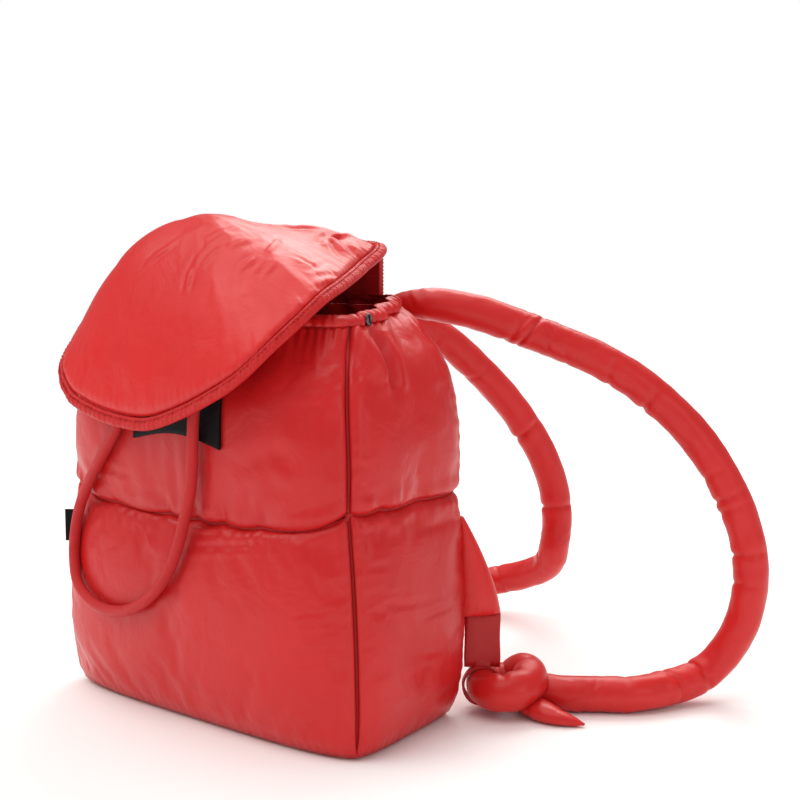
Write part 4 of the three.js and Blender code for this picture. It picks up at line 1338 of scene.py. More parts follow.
    def build_wall(self, face: Face, tier: Tier, seed: int) -> None:
        """Makes one padded wall: lofted, blown up, gathered at its seams and creased.

        Args:
            face: The bag's face.
            tier: The storey.
            seed: Keeps each wall's gathers different.
        """
        height = tier.top - tier.bottom
        rows = round(height / self.step)
        columns = round(face.width / self.step)
        outer, inner, outward = self.skins(face, tier, rows, columns)
        rng = np.random.default_rng(seed)
        coarse = self.wrinkles(face, tier, face.width, height)
        outer = outer + resample(coarse, np.linspace(0, 1, rows), np.linspace(0, 1, columns))
        relief = self.seam_relief(tier, outer, rng)
        for fold in self.folds:
            relief = relief + fold.push(outer.reshape(-1, 3)).reshape(rows, columns)
        normals = grid_normals(outer)
        normals = normals * np.sign((normals * outward).sum(axis=-1, keepdims=True))
        outer = outer + normals * relief[..., None]
        if tier is LOWER:
            low = outer[..., 2] - outer[:1, :, 2]
            outer[..., 2] -= self.HEM_TUCK * fade(low, 7, 1)
            outer = outer - outward * (self.HEM_ROLL * fade(low, 4.5))[..., None]
        outer[..., 2] -= self.seam_droop(face, tier, outer)
        inner[..., 2] -= self.seam_droop(face, tier, inner, 3)
        points = np.vstack([outer.reshape(-1, 3), inner.reshape(-1, 3)])
        node = f"{face.node}_{tier.name}"
        piece = mesh_piece(f"padded_{node}", points, shell_faces(rows, columns))
        face_outward(piece)
        self.shop.finish(piece, self.shop.body, "nylon_body", node)

    def build_seams(self) -> None:
        """Runs a sunken line of cloth along the corner seams and the seam right round, in a darker nylon that
        paints shade into the seam grooves.
        """
        lines = []
        up = np.linspace(0, 1, 60)
        for index, face in enumerate(FACES):
            for tier in TIERS:
                line, outward = face.surface(tier, np.zeros_like(up), up)
                other = FACES[index - 1].surface(tier, np.ones_like(up), up)[1]
                lines.append(line - unit(outward + other) * self.CORNER_LINE_DEPTH)
        across = np.linspace(0.004, 0.996, 90)
        ring = []
        for face in FACES:
            line, outward = face.surface(LOWER, across, np.ones_like(across))
            line[:, 2] -= self.drop_between_pulls(face, across, across)
            ring.append(line - outward * self.SEAM_LINE_DEPTH)
        lines.append(np.vstack([*ring, ring[0][:1]]))
        radius = flat_radius(self.SEAM_LINE_RADIUS)
        curves = [curve_points(line, self.SEAM_LINE_STEP) for line in lines]
        pieces = [sweep_tube(f"seam_{index}", curve, radius, self.SEAM_LINE_SIDES)
                  for index, curve in enumerate(curves)]
        # The seam lines wear the darker nylon: painted shade in the grooves.
        self.shop.finish(join_pieces(pieces, "sewn_seams"), self.shop.lining, "nylon_body")

    def build_base(self) -> None:
        """Rounds the base up to the lower seam, with light gathers round its edge."""
        rim, outward, along = rim_line(LOWER, 0.0, self.BASE_COLUMNS)
        gathers = self.BASE_GATHERS.height(along)
        rings = []
        for share in self.BASE_LEVELS:
            rounding = self.BASE_ROUNDING * (1 - math.sqrt(1 - (1 - share) ** 2))
            inset = rounding + gathers * share * (1 - share) * 4 + self.BASE_INSET
            ring = rim - outward * inset[:, None]
            ring[:, 2] = share * BASE_THICKNESS
            rings.append(ring)
        lip = rim - outward * self.BASE_LIP
        lip[:, 2] = BASE_THICKNESS + 0.5 * MM
        grid = np.array([*rings, lip])
        levels, count = grid.shape[:2]
        faces = [*grid_faces(levels, count, 0, False, True).tolist(), list(range(count)),
                 list(range(count * (levels - 1), count * levels))]
        base = mesh_piece("base_cushion", grid.reshape(-1, 3), faces)
        face_outward(base)
        self.shop.finish(base, self.shop.body, "nylon_body", "base_panel")

    def build(self) -> None:
        """Makes every wall, the seams and the base."""
        for index, face in enumerate(FACES):
            for tier in TIERS:
                self.build_wall(face, tier, 7 * index + (tier is UPPER) + 3)
        self.build_seams()
        self.build_base()


MOUTH_BACK = 1.08 * HALF_DEPTH
FLAP_HALF_WIDTH = 112 * MM
FLAP_LENGTH = 170 * MM
FLAP_DROP = 120 * MM
FLAP_RISE = 23 * MM
FLAP_SKEW = 15 * MM
FLAP_SHIFT = 6 * MM
FLAP_WALL = 22 * MM
FLAP_EDGE_WALL = 6 * MM
FLAP_OVERHANG = 2 * MM
BINDING_WIDTH = 9 * MM
BINDING_THICKNESS = 6 * MM
BINDING_INSET = 1.5 * MM
BRIDGE_HEIGHT = 25 * MM
FLAP_BACK_Y = MOUTH_BACK + FLAP_OVERHANG
FLAP_BACK_Z = MOUTH_HEIGHT + MOUTH_RISE + CASING_HEIGHT + BRIDGE_HEIGHT + FLAP_EDGE_WALL + FLAP_OVERHANG
FLAP_CENTRE = np.array([-18 * MM, FLAP_BACK_Y - 0.6 * FLAP_LENGTH, FLAP_BACK_Z + FLAP_RISE])
FLAP_OUTLINE = (
    (0.53, 0.0, 0.0), (0.73, 0.26, 0.13), (0.9, 0.5, 0.24), (0.99, 0.68, 0.345), (1.0, 0.81, 0.48),
    (0.93, 0.93, 0.65), (0.75, 0.98, 0.8), (0.53, 0.995, 0.89), (0.28, 1.0, 0.96),
)


@dataclass
class FlapAssembly:
    """The padded flap, its binding with a row of stitches, and the bridge behind it."""

    CUSHION_EDGE = 560 * MM
    BOUND_EDGE = 600 * MM
    EDGE_ROLL = 1.6 * MM
    FINE_GATHERS = Gathers(0.34 * MM, 5.2, 2.5, 23)
    BROAD_GATHERS = Gathers(0.4 * MM, 11.7, 2, 31)
    FINE_PULLS = Gathers(0.28 * MM, 4.1, 2, 17)
    BROAD_PULLS = Gathers(0.3 * MM, 13, 2, 29)
    STITCH_SPACING = 3.2 * MM
    THREAD_RADIUS = 0.42 * MM
    STITCH_PLACE = 0.22 * BINDING_WIDTH
    STITCH_GROOVE = 0.9 * MM
    BRIDGE_TUCK = 4 * MM
    BRIDGE_RIB = 0.3 * MM
    BRIDGE_END_PULLS = Gathers(1.0, 2.6)
    BRIDGE_END = 50 * MM
    TOP_ROUNDNESS = 1.8
    LOW_ROUNDNESS = 1.05
    FIRST_RING = 0.03
    WALL_THINNING = 2.5
    PATTERN_SIZE = (110, 24)
    BINDING_SIZE = (620, 22)
    BINDING_SQUARENESS = 0.75

    shop: Workshop
    around: int = 400
    rings: int = 64
    softening: int = 60
    stuffing: Stuffing = Stuffing(spare=0.03, keep_bulge=0.0, keep_wrinkles=0.22, cap=0.0012)
    folds: tuple[Fold, ...] = ()

    def outline(self, count: int) -> np.ndarray:
        """Follows the flap's outer edge at even steps.

        Args:
            count: The number of points.

        Returns:
            The points, without a doubled end.
        """
        def place(row: tuple[float, float, float], side: int) -> list[float]:
            """Places one row of the outline on one side.

            Args:
                row: How far across, forward and down the place is, as shares of the flap's sizes.
                side: 1 for the right side and -1 for the left.

            Returns:
                The place's x, y and z.
            """
            across, forward, down = row
            skew = FLAP_SKEW * side * across * forward ** 2
            return [side * across * FLAP_HALF_WIDTH - FLAP_SHIFT * forward ** 2,
                    FLAP_BACK_Y - forward * FLAP_LENGTH, FLAP_BACK_Z - down * FLAP_DROP + skew]

        right = [place(row, 1) for row in FLAP_OUTLINE]
        left = [place(row, -1) for row in reversed(FLAP_OUTLINE)]
        corners = np.array([place((0, 0, 0), 1), *right, place((0, 1, 1), 1), *left])
        dense = curve_points(corners, 0.4 * MM, closed=True)
        distances = travelled(dense)
        return at_distances(dense, distances, np.linspace(0, distances[-1], count, endpoint=False))[::-1]

    def dome(self, edge: np.ndarray, share: np.ndarray) -> np.ndarray:
        """Works out points of the dome between its crown (0) and its outline (1).

        Args:
            edge: Points of the outline.
            share: How far from the crown to each of them.

        Returns:
            One point of the dome for each.
        """
        angle = share * np.pi / 2
        steepness = (FLAP_CENTRE[2] - edge[..., 2]) / (FLAP_DROP + FLAP_RISE)
        roundness = mix(self.TOP_ROUNDNESS, self.LOW_ROUNDNESS, steepness)
        reach = np.sin(angle) ** roundness
        height = np.maximum(np.cos(angle), 0) ** roundness
        swell = 1 + 0.02 * np.sin(2 * angle) * steepness
        plan = mix(FLAP_CENTRE[:2], edge[..., :2], (reach * swell)[..., None])
        return np.concatenate([plan, mix(edge[..., 2], FLAP_CENTRE[2], height)[..., None]], axis=-1)

    def share_before_edge(self, edges: np.ndarray, distance: float) -> np.ndarray:
        """Finds the shares at which the dome lies a distance short of the outline.

        Args:
            edges: Points of the outline.
            distance: The distance.

        Returns:
            One share for each point.
        """
        shares = np.linspace(0.7, 1, 301)
        places = self.dome(edges[None], shares[:, None] * np.ones(len(edges)))
        reach = np.linalg.norm(places - edges[None], axis=2)
        return np.array([shares[np.nonzero(reach[:, i] >= distance)[0][-1]] for i in range(len(edges))])

    def skins(self, around: int, rings: int, distance: float) -> tuple[np.ndarray, np.ndarray, np.ndarray]:
        """Lays out the outer and inner skin of the dome.

        Args:
            around: Points round each ring.
            rings: Rings from the crown to the edge.
            distance: How far the last ring stays short of the outline.

        Returns:
            The outer grid, the inner grid and the outer normals.
        """
        edges = self.outline(around)
        limit = self.share_before_edge(edges, distance)
        levels = np.linspace(self.FIRST_RING, 1, rings)
        outer = self.dome(edges[None], levels[:, None] * limit[None])
        normals = grid_normals(outer, closed=True)
        normals = normals * np.sign(normals[:, :, 2:].mean())
        wall = mix(FLAP_WALL, FLAP_EDGE_WALL, levels ** self.WALL_THINNING)[:, None, None]
        return outer, outer - normals * wall, normals

    def dome_piece(self, name: str, outer: np.ndarray, inner: np.ndarray) -> bpy.types.Object:
        """Closes two skins into one mesh, with a point at each crown.

        Args:
            name: The piece's name.
            outer: The outer skin's grid.
            inner: The inner skin's grid.

        Returns:
            The closed piece.
        """
        rings, around = outer.shape[:2]
        count = rings * around
        points = np.vstack([outer.reshape(-1, 3), inner.reshape(-1, 3), outer[0].mean(axis=0, keepdims=True),
                            inner[0].mean(axis=0, keepdims=True)])
        faces = [*grid_faces(rings, around, 0, False, True), *grid_faces(rings, around, count, True, True)]
        last = count - around
        for side in range(around):
            turn = (side + 1) % around
            faces.append((2 * count, turn, side))
            faces.append((2 * count + 1, count + side, count + turn))
            faces.append((last + side, last + turn, count + last + turn, count + last + side))
        return mesh_piece(name, points, faces)

    def wrinkles(self, gap: float) -> np.ndarray:
        """Rounds a coarse copy of the dome off, blows it up and reads how its cloth moved.

        Args:
            gap: How far the cushion stays short of the outline.

        Returns:
            A grid of moves.
        """
        around, rings = self.PATTERN_SIZE
        outer, inner, normals = self.skins(around, rings, gap)
        pattern = self.dome_piece("pattern", outer, inner)
        count = rings * around
        fixed = np.arange(len(coordinates(pattern))) // around == rings - 1
        fixed[count:-2] = True
        start = coordinates(pattern)
        soft = start
        for _ in range(self.softening):
            soft = np.where(fixed[:, None], start, smoothed(soft, neighbour_pairs(pattern), 1))
        sunk = (start - soft)[:count].reshape(rings, around, 3)
        depth = float(np.median((sunk * normals).sum(axis=2)))
        profile = np.sin(np.pi / 2 * np.linspace(1, 0, rings)) ** 0.5
        rounding = -sunk + normals * (depth * 1.1 * profile)[:, None, None]
        ring = np.arange(rings * around) // around
        border = self.stuffing.held_near(rings - 1 - ring)
        held = np.concatenate([border, np.ones(rings * around), [0.0, 1.0]])
        moved = self.stuffing.blow_up(pattern, held)[:rings * around].reshape(rings, around, 3)
        bpy.data.objects.remove(pattern)
        return moved + rounding

    def build_cushion(self) -> None:
        """Makes the dome: lofted, blown up, gathered along the binding and creased."""
        gap = BINDING_WIDTH + 2 * SEAM_GAP
        outer, inner, normals = self.skins(self.around, self.rings, gap)
        outer = outer + resample(self.wrinkles(gap), np.linspace(0, 1, self.rings),
                                 np.linspace(0, 1, self.around, endpoint=False), closed=True)
        short = np.linalg.norm(outer - outer[-1:], axis=2)
        along = np.linspace(0, self.CUSHION_EDGE, self.around, endpoint=False)[None, :]
        fine = self.FINE_GATHERS.height(along) * fade(short, 7, 1)
        patchy = 0.55 + 0.45 * np.sin(along / (19 * MM) + 1.3 * np.sin(along / (43 * MM)))
        broad = self.BROAD_GATHERS.height(along) * patchy * fade(short, 14, 1)
        lift = (fine + broad) * np.clip(short / (2 * MM), 0, 1) - self.EDGE_ROLL * fade(short, 2.4)
        for fold in self.folds:
            lift = lift + fold.push(outer.reshape(-1, 3)).reshape(short.shape)
        outer = outer + normals * lift[..., None]
        piece = self.dome_piece("flap_cushion", outer, inner)
        face_outward(piece)
        self.shop.finish(piece, self.shop.flap, "nylon_flap", "flap_panel")

    def build_binding(self) -> None:
        """Makes the bound edge: a soft roll with small pulls and a row of stitches."""
        around, sides = self.BINDING_SIZE
        edges = self.outline(around)
        middle = self.dome(edges, self.share_before_edge(edges, BINDING_WIDTH / 2))
        inner = self.dome(edges, self.share_before_edge(edges, BINDING_WIDTH))
        down = unit(edges - inner)
        tangent = np.roll(middle, -1, axis=0) - np.roll(middle, 1, axis=0)
        normal = np.cross(tangent, down)
        normal = unit(normal * np.sign(normal[:, 2].mean()))
        angle = np.linspace(0, 2 * np.pi, sides, endpoint=False)
        along = np.linspace(0, self.BOUND_EDGE, around, endpoint=False)[:, None]
        pulls = self.FINE_PULLS.height(along) + self.BROAD_PULLS.height(along)
        square = np.abs(np.cos(angle)) ** self.BINDING_SQUARENESS
        across = np.sign(np.cos(angle)) * square * (BINDING_WIDTH / 2)
        level = np.sin(angle)
        groove = self.STITCH_GROOVE * fade(across + self.STITCH_PLACE, 0.7) * (level > 0)
        through = level * (BINDING_THICKNESS / 2) + pulls * np.maximum(level, 0) - BINDING_INSET - groove
        rings = middle[:, None] + down[:, None] * across[None, :, None] + normal[:, None] * through[..., None]
        piece = mesh_piece("flap_bound_edge", rings.reshape(-1, 3), ring_faces(around, sides))
        face_outward(piece)
        self.shop.finish(piece, self.shop.binding, "nylon_flap", "flap_binding")
        height = BINDING_THICKNESS / 2 - BINDING_INSET - 0.5 * MM
        seat = middle - down * self.STITCH_PLACE + normal * height
        self.shop.stitch_row("binding_stitches", seat, normal, self.STITCH_SPACING, self.THREAD_RADIUS,
                             "nylon_flap")

    def build_bridge(self) -> None:
        """Makes the upright padded strip behind the mouth, with pulls at its two ends."""
        piece = self.shop.copy_solid("flap_bridge", "flap_bridge_strip", 3)
        points = coordinates(piece)
        bottom, top = points[:, 2].min(), points[:, 2].max()
        points[:, 2] -= self.BRIDGE_TUCK * np.clip((bottom + top - 2 * points[:, 2]) / (top - bottom), 0, 1)
        ends = np.clip((np.abs(points[:, 0]) - self.BRIDGE_END) / (6 * MM), 0, 1)
        pulls = self.BRIDGE_END_PULLS.height(points[:, 2])
        ribs = mix(np.sin(points[:, 0] / (2.4 * MM)), pulls, ends)
        set_coordinates(piece, points + point_normals(piece) * (self.BRIDGE_RIB * ribs)[:, None])
        self.shop.finish(piece, self.shop.band, "nylon_flap", "flap_bridge")

    def build(self) -> None:
        """Makes the flap's pieces."""
        self.build_cushion()
        self.build_binding()
        self.build_bridge()


@dataclass(frozen=True)
class Crease:
    """A pinch across a tube, deepest on the inside of the bend."""

    share: float
    depth: float = 2.6 * MM
    width: float = 2.2 * MM
    lean: float = 0.0
    centre: float = 0.0
    reach: float = 1.9

    def pinch(self, along: np.ndarray, angle: np.ndarray, length: float) -> np.ndarray:
        """Gives the change of radius that the crease makes.

        Args:
            along: Distances along the tube.
            angle: Angles round it.
            length: The tube's length.

        Returns:
            The change of radius, negative in the crease and positive beside it.
        """
        swing = np.angle(np.exp(1j * (angle - self.centre)))
        cover = np.exp(-(swing / self.reach) ** 4)
        offset = along - self.share * length - self.lean * STRAP_RADIUS * np.sin(angle)
        groove = np.exp(-(offset / self.width) ** 2)
        puff = np.exp(-((np.abs(offset) - 3.4 * self.width) / (2.4 * self.width)) ** 2)
        return self.depth * cover * (0.3 * puff - groove)


STRAP_RADIUS = 12.5 * MM
STRAP_DIAMETER = 2 * STRAP_RADIUS
KNOT_TURN = math.radians(40)
WING_REACH = 26 * MM
WING_BACK_REACH = 9.4 * MM
LOOP_WIDTH = 25 * MM
BACK_CORNER = np.array([0.95 * HALF_WIDTH, 1.06 * HALF_DEPTH, 0.0])
KNOT_OUT = np.array([math.cos(KNOT_TURN), math.sin(KNOT_TURN), 0.0])
KNOT_BACK = np.array([-math.sin(KNOT_TURN), math.cos(KNOT_TURN), 0.0])
LOOP_CENTRE = BACK_CORNER + KNOT_OUT * (WING_REACH - LOOP_WIDTH / 2) + KNOT_BACK * WING_BACK_REACH

Row = tuple[float, float, float, float]

RIGHT_ROUTE: tuple[Row, ...] = (
    (0.33, 0.09, 1.015, 0.35), (0.44, 0.13, 1.03, 0.75), (0.6, 0.18, 1.035, 0.95),
    (0.81, 0.3, 1.012, 1), (1.02, 0.43, 0.966, 1), (1.32, 0.615, 0.89, 1),
    (1.53, 0.745, 0.805, 1), (1.74, 0.875, 0.672, 1), (1.9, 0.975, 0.489, 1),
    (1.95, 1.0, 0.34, 1), (1.9, 0.975, 0.19, 1), (1.76, 0.885, 0.075, 1),
)
LEFT_ROUTE: tuple[Row, ...] = (
    (-0.28, 0.05, 1.02, 0.35), (-0.24, 0.09, 1.03, 0.75), (-0.18, 0.17, 1.03, 0.95),
    (0.05, 0.47, 0.935, 1), (0.16, 0.6, 0.835, 1), (0.28, 0.74, 0.685, 1),
    (0.37, 0.84, 0.522, 1), (0.4, 0.88, 0.38, 1), (0.39, 0.875, 0.26, 1),
    (0.3, 0.91, 0.195, 1), (0.11, 0.93, 0.145, 1), (-0.1, 0.92, 0.11, 1),
    (-0.5, 0.7, 0.06, 1),
)
KNOT_ROUTE: tuple[Row, ...] = (
    (4.4, -0.05, 0.52, 1), (3.3, -0.05, 0.51, 1), (2.2, 0.0, 0.52, 1), (1.5, 0.3, 0.55, 1),
    (1.0, 0.6, 0.6, 1), (0.52, 0.74, 0.68, 0.96), (0.1, 0.48, 0.74, 0.9), (0.0, 0.0, 0.76, 0.88),
    (0.1, -0.46, 0.76, 0.94), (0.46, -0.76, 0.75, 1.04), (0.94, -0.7, 0.8, 1.08),
    (1.27, -0.34, 0.92, 1.06), (1.36, 0.08, 1.02, 1), (1.2, 0.52, 1.02, 0.98),
    (0.95, 0.84, 0.8, 0.9), (0.86, 1.0, 0.5, 0.8),
)
TAIL_ROUTE: tuple[Row, ...] = (
    (1.3, 0.2, 0.36, 0.7), (1.34, -0.35, 0.32, 0.84), (1.62, -0.85, 0.28, 0.84),
    (2.1, -1.2, 0.2, 0.6), (2.75, -1.45, 0.09, 0.16),
)
TURN_START = 4
TAIL_FLATNESS = 0.66
FLOOR_GAP = 0.25 * MM
TURN_CREASES = tuple(Crease(share, 1.5 * MM, 2.0 * MM, centre=centre) for share, centre in (
    (0.14, 0.2), (0.24, -0.3), (0.36, 0.2), (0.5, 0.1), (0.63, -0.2), (0.78, 0.3)))
TAIL_CREASES = (Crease(0.4, 1.4 * MM), Crease(0.6, 1.2 * MM, lean=0.5))


@dataclass
class TubeStrap:
    """A padded tube strap: its long run, the turn and knot round the loop, and the flat tail."""

    STEP = 1.7 * MM
    SIDES = 40
    END_REACH = 9 * MM
    END_GIRTH = 0.25
    THINNEST = 0.6 * MM
    LUMPS = 8
    LUMP_HEIGHT = 0.09 * MM
    LUMP_LENGTHS = (14, 60)

    shop: Workshop
    side: Side
    route: tuple[Row, ...]
    reach: float
    creases: tuple[Crease, ...]
    seed: int

    def knot_points(self, rows: Sequence[Row]) -> np.ndarray:
        """Places rows of the knot, which are in strap diameters, beside the back corner.

        Args:
            rows: How far out, back and up each place is, and the girth there.

        Returns:
            One point for each row.
        """
        places = []
        for out, back, up, _ in rows:
            place = LOOP_CENTRE + KNOT_OUT * out * STRAP_DIAMETER + KNOT_BACK * back * STRAP_DIAMETER
            places.append([place[0] * self.side.value, place[1], up * STRAP_DIAMETER])
        return np.array(places)

    def tube(self, name: str, corners: np.ndarray, girths: np.ndarray, creases: Sequence[Crease],
             flatness: float = 1.0) -> bpy.types.Object:
        """Sweeps one tube with its girths, its creases and soft uneven filling.

        Args:
            name: The tube's name.
            corners: The points that it goes through.
            girths: Its girth at each of them, as shares of the strap's.
            creases: The pinches across it.
            flatness: The section's height over its width.

        Returns:
            The tube.
        """
        line = curve_points(corners, self.STEP)
        steps = np.linspace(0, 1, len(line))
        length = float(travelled(line)[-1])
        nearest = [int(np.argmin(np.linalg.norm(line - corner, axis=1))) for corner in corners]
        girth = np.interp(np.arange(len(line)), nearest, girths)
        from_end = np.minimum(steps, 1 - steps) * length / self.END_REACH
        end_shape = np.minimum(1.0, self.END_GIRTH + from_end) ** 0.5
        rng = np.random.default_rng(self.seed)
        phases = rng.uniform(0, 2 * math.pi, (self.LUMPS, 2))
        waves = rng.uniform(*self.LUMP_LENGTHS, self.LUMPS) * MM

        def radius_at(along: np.ndarray, angle: np.ndarray) -> np.ndarray:
            """Gives the tube's radius at distances and angles.

            Args:
                along: Distances along the tube.
                angle: Angles round it.

            Returns:
                One radius for each pair.
            """
            radius = STRAP_RADIUS * (girth * end_shape)[:, None] * np.ones_like(angle)
            for (shift, turn), wave in zip(phases, waves):
                lump = self.LUMP_HEIGHT * np.sin(2 * math.pi * along / wave + shift)
                radius = radius + lump * np.cos(angle * (1 + round(turn)) + turn)
            for crease in creases:
                radius = radius + crease.pinch(along, angle, length)
            return np.maximum(radius, self.THINNEST)

        return sweep_tube(name, line, radius_at, self.SIDES, flatness)

    def build(self) -> None:
        """Makes the strap as one piece of three tubes that press on each other."""
        upper = np.array([[across * HALF_WIDTH, HALF_DEPTH + behind * self.reach, up * MOUTH_HEIGHT]
                          for across, behind, up, _ in self.route])
        knot = self.knot_points(KNOT_ROUTE)
        tail = self.knot_points(TAIL_ROUTE)
        girths = np.array([row[3] for row in (*self.route, *KNOT_ROUTE)])
        entry = TURN_START + 2
        word = self.side.name.lower()
        tubes = [
            self.tube(f"strap_{word}", np.vstack([upper, knot[:entry]]), girths[:len(self.route) + entry],
                      self.creases),
            self.tube(f"strap_turn_{word}", knot[TURN_START:], girths[len(self.route) + TURN_START:],
                      TURN_CREASES),
            self.tube(f"strap_tail_{word}", tail, np.array([row[3] for row in TAIL_ROUTE]), TAIL_CREASES,
                      TAIL_FLATNESS),
        ]
        piece = join_pieces(tubes, f"tube_strap_{word}")
        points = coordinates(piece)
        points[:, 2] = np.maximum(points[:, 2], FLOOR_GAP)
        set_coordinates(piece, points)
        self.shop.finish(piece, self.shop.strap, "nylon_strap", f"shoulder_strap_{word}")


WING_BOTTOM = 71.5 * MM
WING_HEIGHT = 70 * MM
WING_WALL = 23 * MM
WING_ROOT = 5 * MM


@dataclass
class StrapMount:
    """The padded wing in a back corner seam and the flat band that holds the knot."""

    EDGE_GATHERS = Gathers(0.5 * MM, 6)
    ROOT_PLEATS = 0.35 * MM
    ROOT_PLEAT_LENGTH = 11 * MM
    WING_TAPER = 0.86
    WING_CURVE = 1.45
    WING_EDGE_WALL = 0.7 * MM
    RISE_WAVE = 0.25 * MM
    RISE_WAVE_LENGTH = 5 * MM
    SIDE_WAVE = 0.3 * MM
    SIDE_WAVE_LENGTH = 4.5 * MM

    shop: Workshop
    side: Side
    rows: int = 56
    columns: int = 34

    def build_wing(self, word: str) -> None:
        """Makes the three-cornered wing, full in its middle and gathered along its lower edge.

        Args:
            word: The side's name.
        """
        tip = BACK_CORNER + KNOT_OUT * WING_REACH + KNOT_BACK * WING_BACK_REACH
        root = BACK_CORNER - KNOT_OUT * WING_ROOT
        along = (tip - root) / np.linalg.norm(tip - root)
        normal = np.array([along[1], -along[0], 0.0])
        out, up = np.meshgrid(np.linspace(0, 1, self.columns), np.linspace(0, 1, self.rows))
        reach = 1 - self.WING_TAPER * up ** self.WING_CURVE
        centre = root + (tip - root) * (out * reach)[..., None]
        centre[..., 2] = WING_BOTTOM + WING_HEIGHT * up
        fill = np.maximum(1 - (2 * out - 1) ** 2, 0) ** 0.55
        fill = fill * np.maximum(1 - np.abs(2 * mix(0.04, 0.96, up) - 1) ** 5, 0) ** 0.6 * (1 - 0.45 * up)
        half = mix(self.WING_EDGE_WALL, WING_WALL / 2, fill)
        distance = out * reach * np.linalg.norm(tip - root)
        gathers = self.EDGE_GATHERS.height(distance) * np.exp(-up / 0.09)
        pleats = np.sin(2 * np.pi * up * WING_HEIGHT / self.ROOT_PLEAT_LENGTH + 1)
        gathers += self.ROOT_PLEATS * pleats * np.exp(-(out / 0.3) ** 2)
        swell = (half + gathers * fill)[..., None] * normal
        points = np.vstack([(centre + swell).reshape(-1, 3), (centre - swell).reshape(-1, 3)])
        points[:, 0] *= self.side.value
        piece = mesh_piece(f"padded_wing_{word}", points, shell_faces(self.rows, self.columns))
        face_outward(piece)
        # The wing wears the flap's lighter nylon rather than the strap's: painted light that brightens it as
        # if more strongly lit.
        self.shop.finish(piece, self.shop.flap, "nylon_strap", f"strap_wing_{word}")

    def build(self) -> None:
        """Makes the wing and the band."""
        word = self.side.name.lower()
        self.build_wing(word)
        band = self.shop.copy_solid(f"strap_loop_{word}", f"flat_band_{word}", 3, smooth=False)
        points = coordinates(band)
        sideways = points[:, 0] * self.side.value + points[:, 1]
        waves = self.RISE_WAVE * np.sin(points[:, 2] / self.RISE_WAVE_LENGTH)
        waves = waves + self.SIDE_WAVE * np.sin(sideways / self.SIDE_WAVE_LENGTH)
        set_coordinates(band, points + point_normals(band) * waves[:, None])
        self.shop.finish(band, self.shop.band, "nylon_band", f"strap_loop_{word}")


DRAWSTRING_ROUTE: tuple[Point, ...] = (
    (-18.7, -61, 280), (-18.7, -65, 280), (-18.7, -69, 280), (-21, -74.5, 276), (-28, -78.5, 265),
    (-33, -85, 247), (-42, -91, 221), (-55, -90, 200), (-72, -88.5, 181), (-90, -85, 162),
    (-106, -82, 141), (-112, -82, 122), (-113, -83, 105), (-105, -87, 87), (-91, -90, 78),
    (-71, -92, 73), (-47, -93, 75), (-28, -93, 83), (-12, -92.5, 95), (1, -91, 112),
    (9, -90, 129), (14, -89, 146), (21, -90, 164), (25, -91, 182), (27, -92, 200),
    (28, -91, 224), (27, -85, 247), (26, -78.5, 265), (22, -74.5, 276), (18.7, -69, 280),
    (18.7, -65, 280), (18.7, -61, 280),
)


@dataclass
class Drawstring:
    """The round cord that hangs in a loop over the front, and its eyelets."""

    STEP = 2 * MM
    SIDES = 20

    shop: Workshop
    diameter: float = 8 * MM

    def build(self) -> None:
        """Makes the cord along its route and rounds the eyelets."""
        corners = np.array(DRAWSTRING_ROUTE) * MM
        line = curve_points(corners, self.STEP)
        cord = sweep_tube("drawstring_cord", line, flat_radius(self.diameter / 2), self.SIDES)
        self.shop.finish(cord, self.shop.braid, "cord", "drawstring_loop")
        for name in ("cord_eyelet_right", "cord_eyelet_left", "corner_eyelet_right", "corner_eyelet_left"):
            eyelet = self.shop.copy_solid(name, f"rounded_{name}", 1)
            self.shop.finish(eyelet, self.shop.metal, "dark_metal", name)


@dataclass
class Trim:
    """The mouth casing, the closure patch and the side label."""

    CASING_COLUMNS = 170
    CASING_SIDES = 18
    CASING_SQUARENESS = 0.6
    CASING_HALF_WIDTH = 1.9 * MM
    CASING_INSET = 1.6 * MM
    CASING_LEAN = 5.0 * MM
    PLEATS = Gathers(1.0, 6.3, 2, 23)
    PLEAT_DEPTH = 0.9 * MM
    PLEAT_RISE = 0.35 * MM

    shop: Workshop

    def build_casing(self) -> None:
        """Makes the tunnel round the mouth, drawn up into tight uneven pleats."""
        rim, outward, along = rim_line(UPPER, 1.0, self.CASING_COLUMNS)
        pleats = (self.PLEATS.height(along) * (0.7 + 0.3 * np.sin(along / (13 * MM))))[:, None]
        angle = np.linspace(0, 2 * np.pi, self.CASING_SIDES, endpoint=False)[None, :]
        side, level = (np.sign(wave) * np.abs(wave) ** self.CASING_SQUARENESS
                       for wave in (np.cos(angle), np.sin(angle)))
        reach = side * self.CASING_HALF_WIDTH - self.CASING_INSET + self.PLEAT_DEPTH * pleats * (side > 0)
        reach = reach - self.CASING_LEAN * np.maximum(level, 0) ** 1.5
        rings = rim[:, None] + outward[:, None] * reach[..., None]
        rings[..., 2] += CASING_HEIGHT * (0.52 + 0.5 * level) + self.PLEAT_RISE * pleats * (level > 0)
        faces = ring_faces(len(rim), self.CASING_SIDES)
        casing = mesh_piece("gathered_casing", rings.reshape(-1, 3), faces)
        face_outward(casing)
        self.shop.finish(casing, self.shop.body, "nylon_body", "mouth_casing")

    def build(self) -> None:
        """Makes the casing, the patch and the label."""
        self.build_casing()
        patch = self.shop.copy_solid("closure_patch", "bare_closure_patch", 2, smooth=False)
        self.shop.finish(patch, self.shop.black, "black_trim", "closure_patch")
        label = self.shop.copy_solid("side_label", "bare_side_label", 0)
        apply_modifier(label, "BEVEL", width=0.5 * MM, segments=3)
        self.shop.finish(label, self.shop.black, "black_trim", "side_label")


WARM_WHITE = (1.0, 0.975, 0.93)


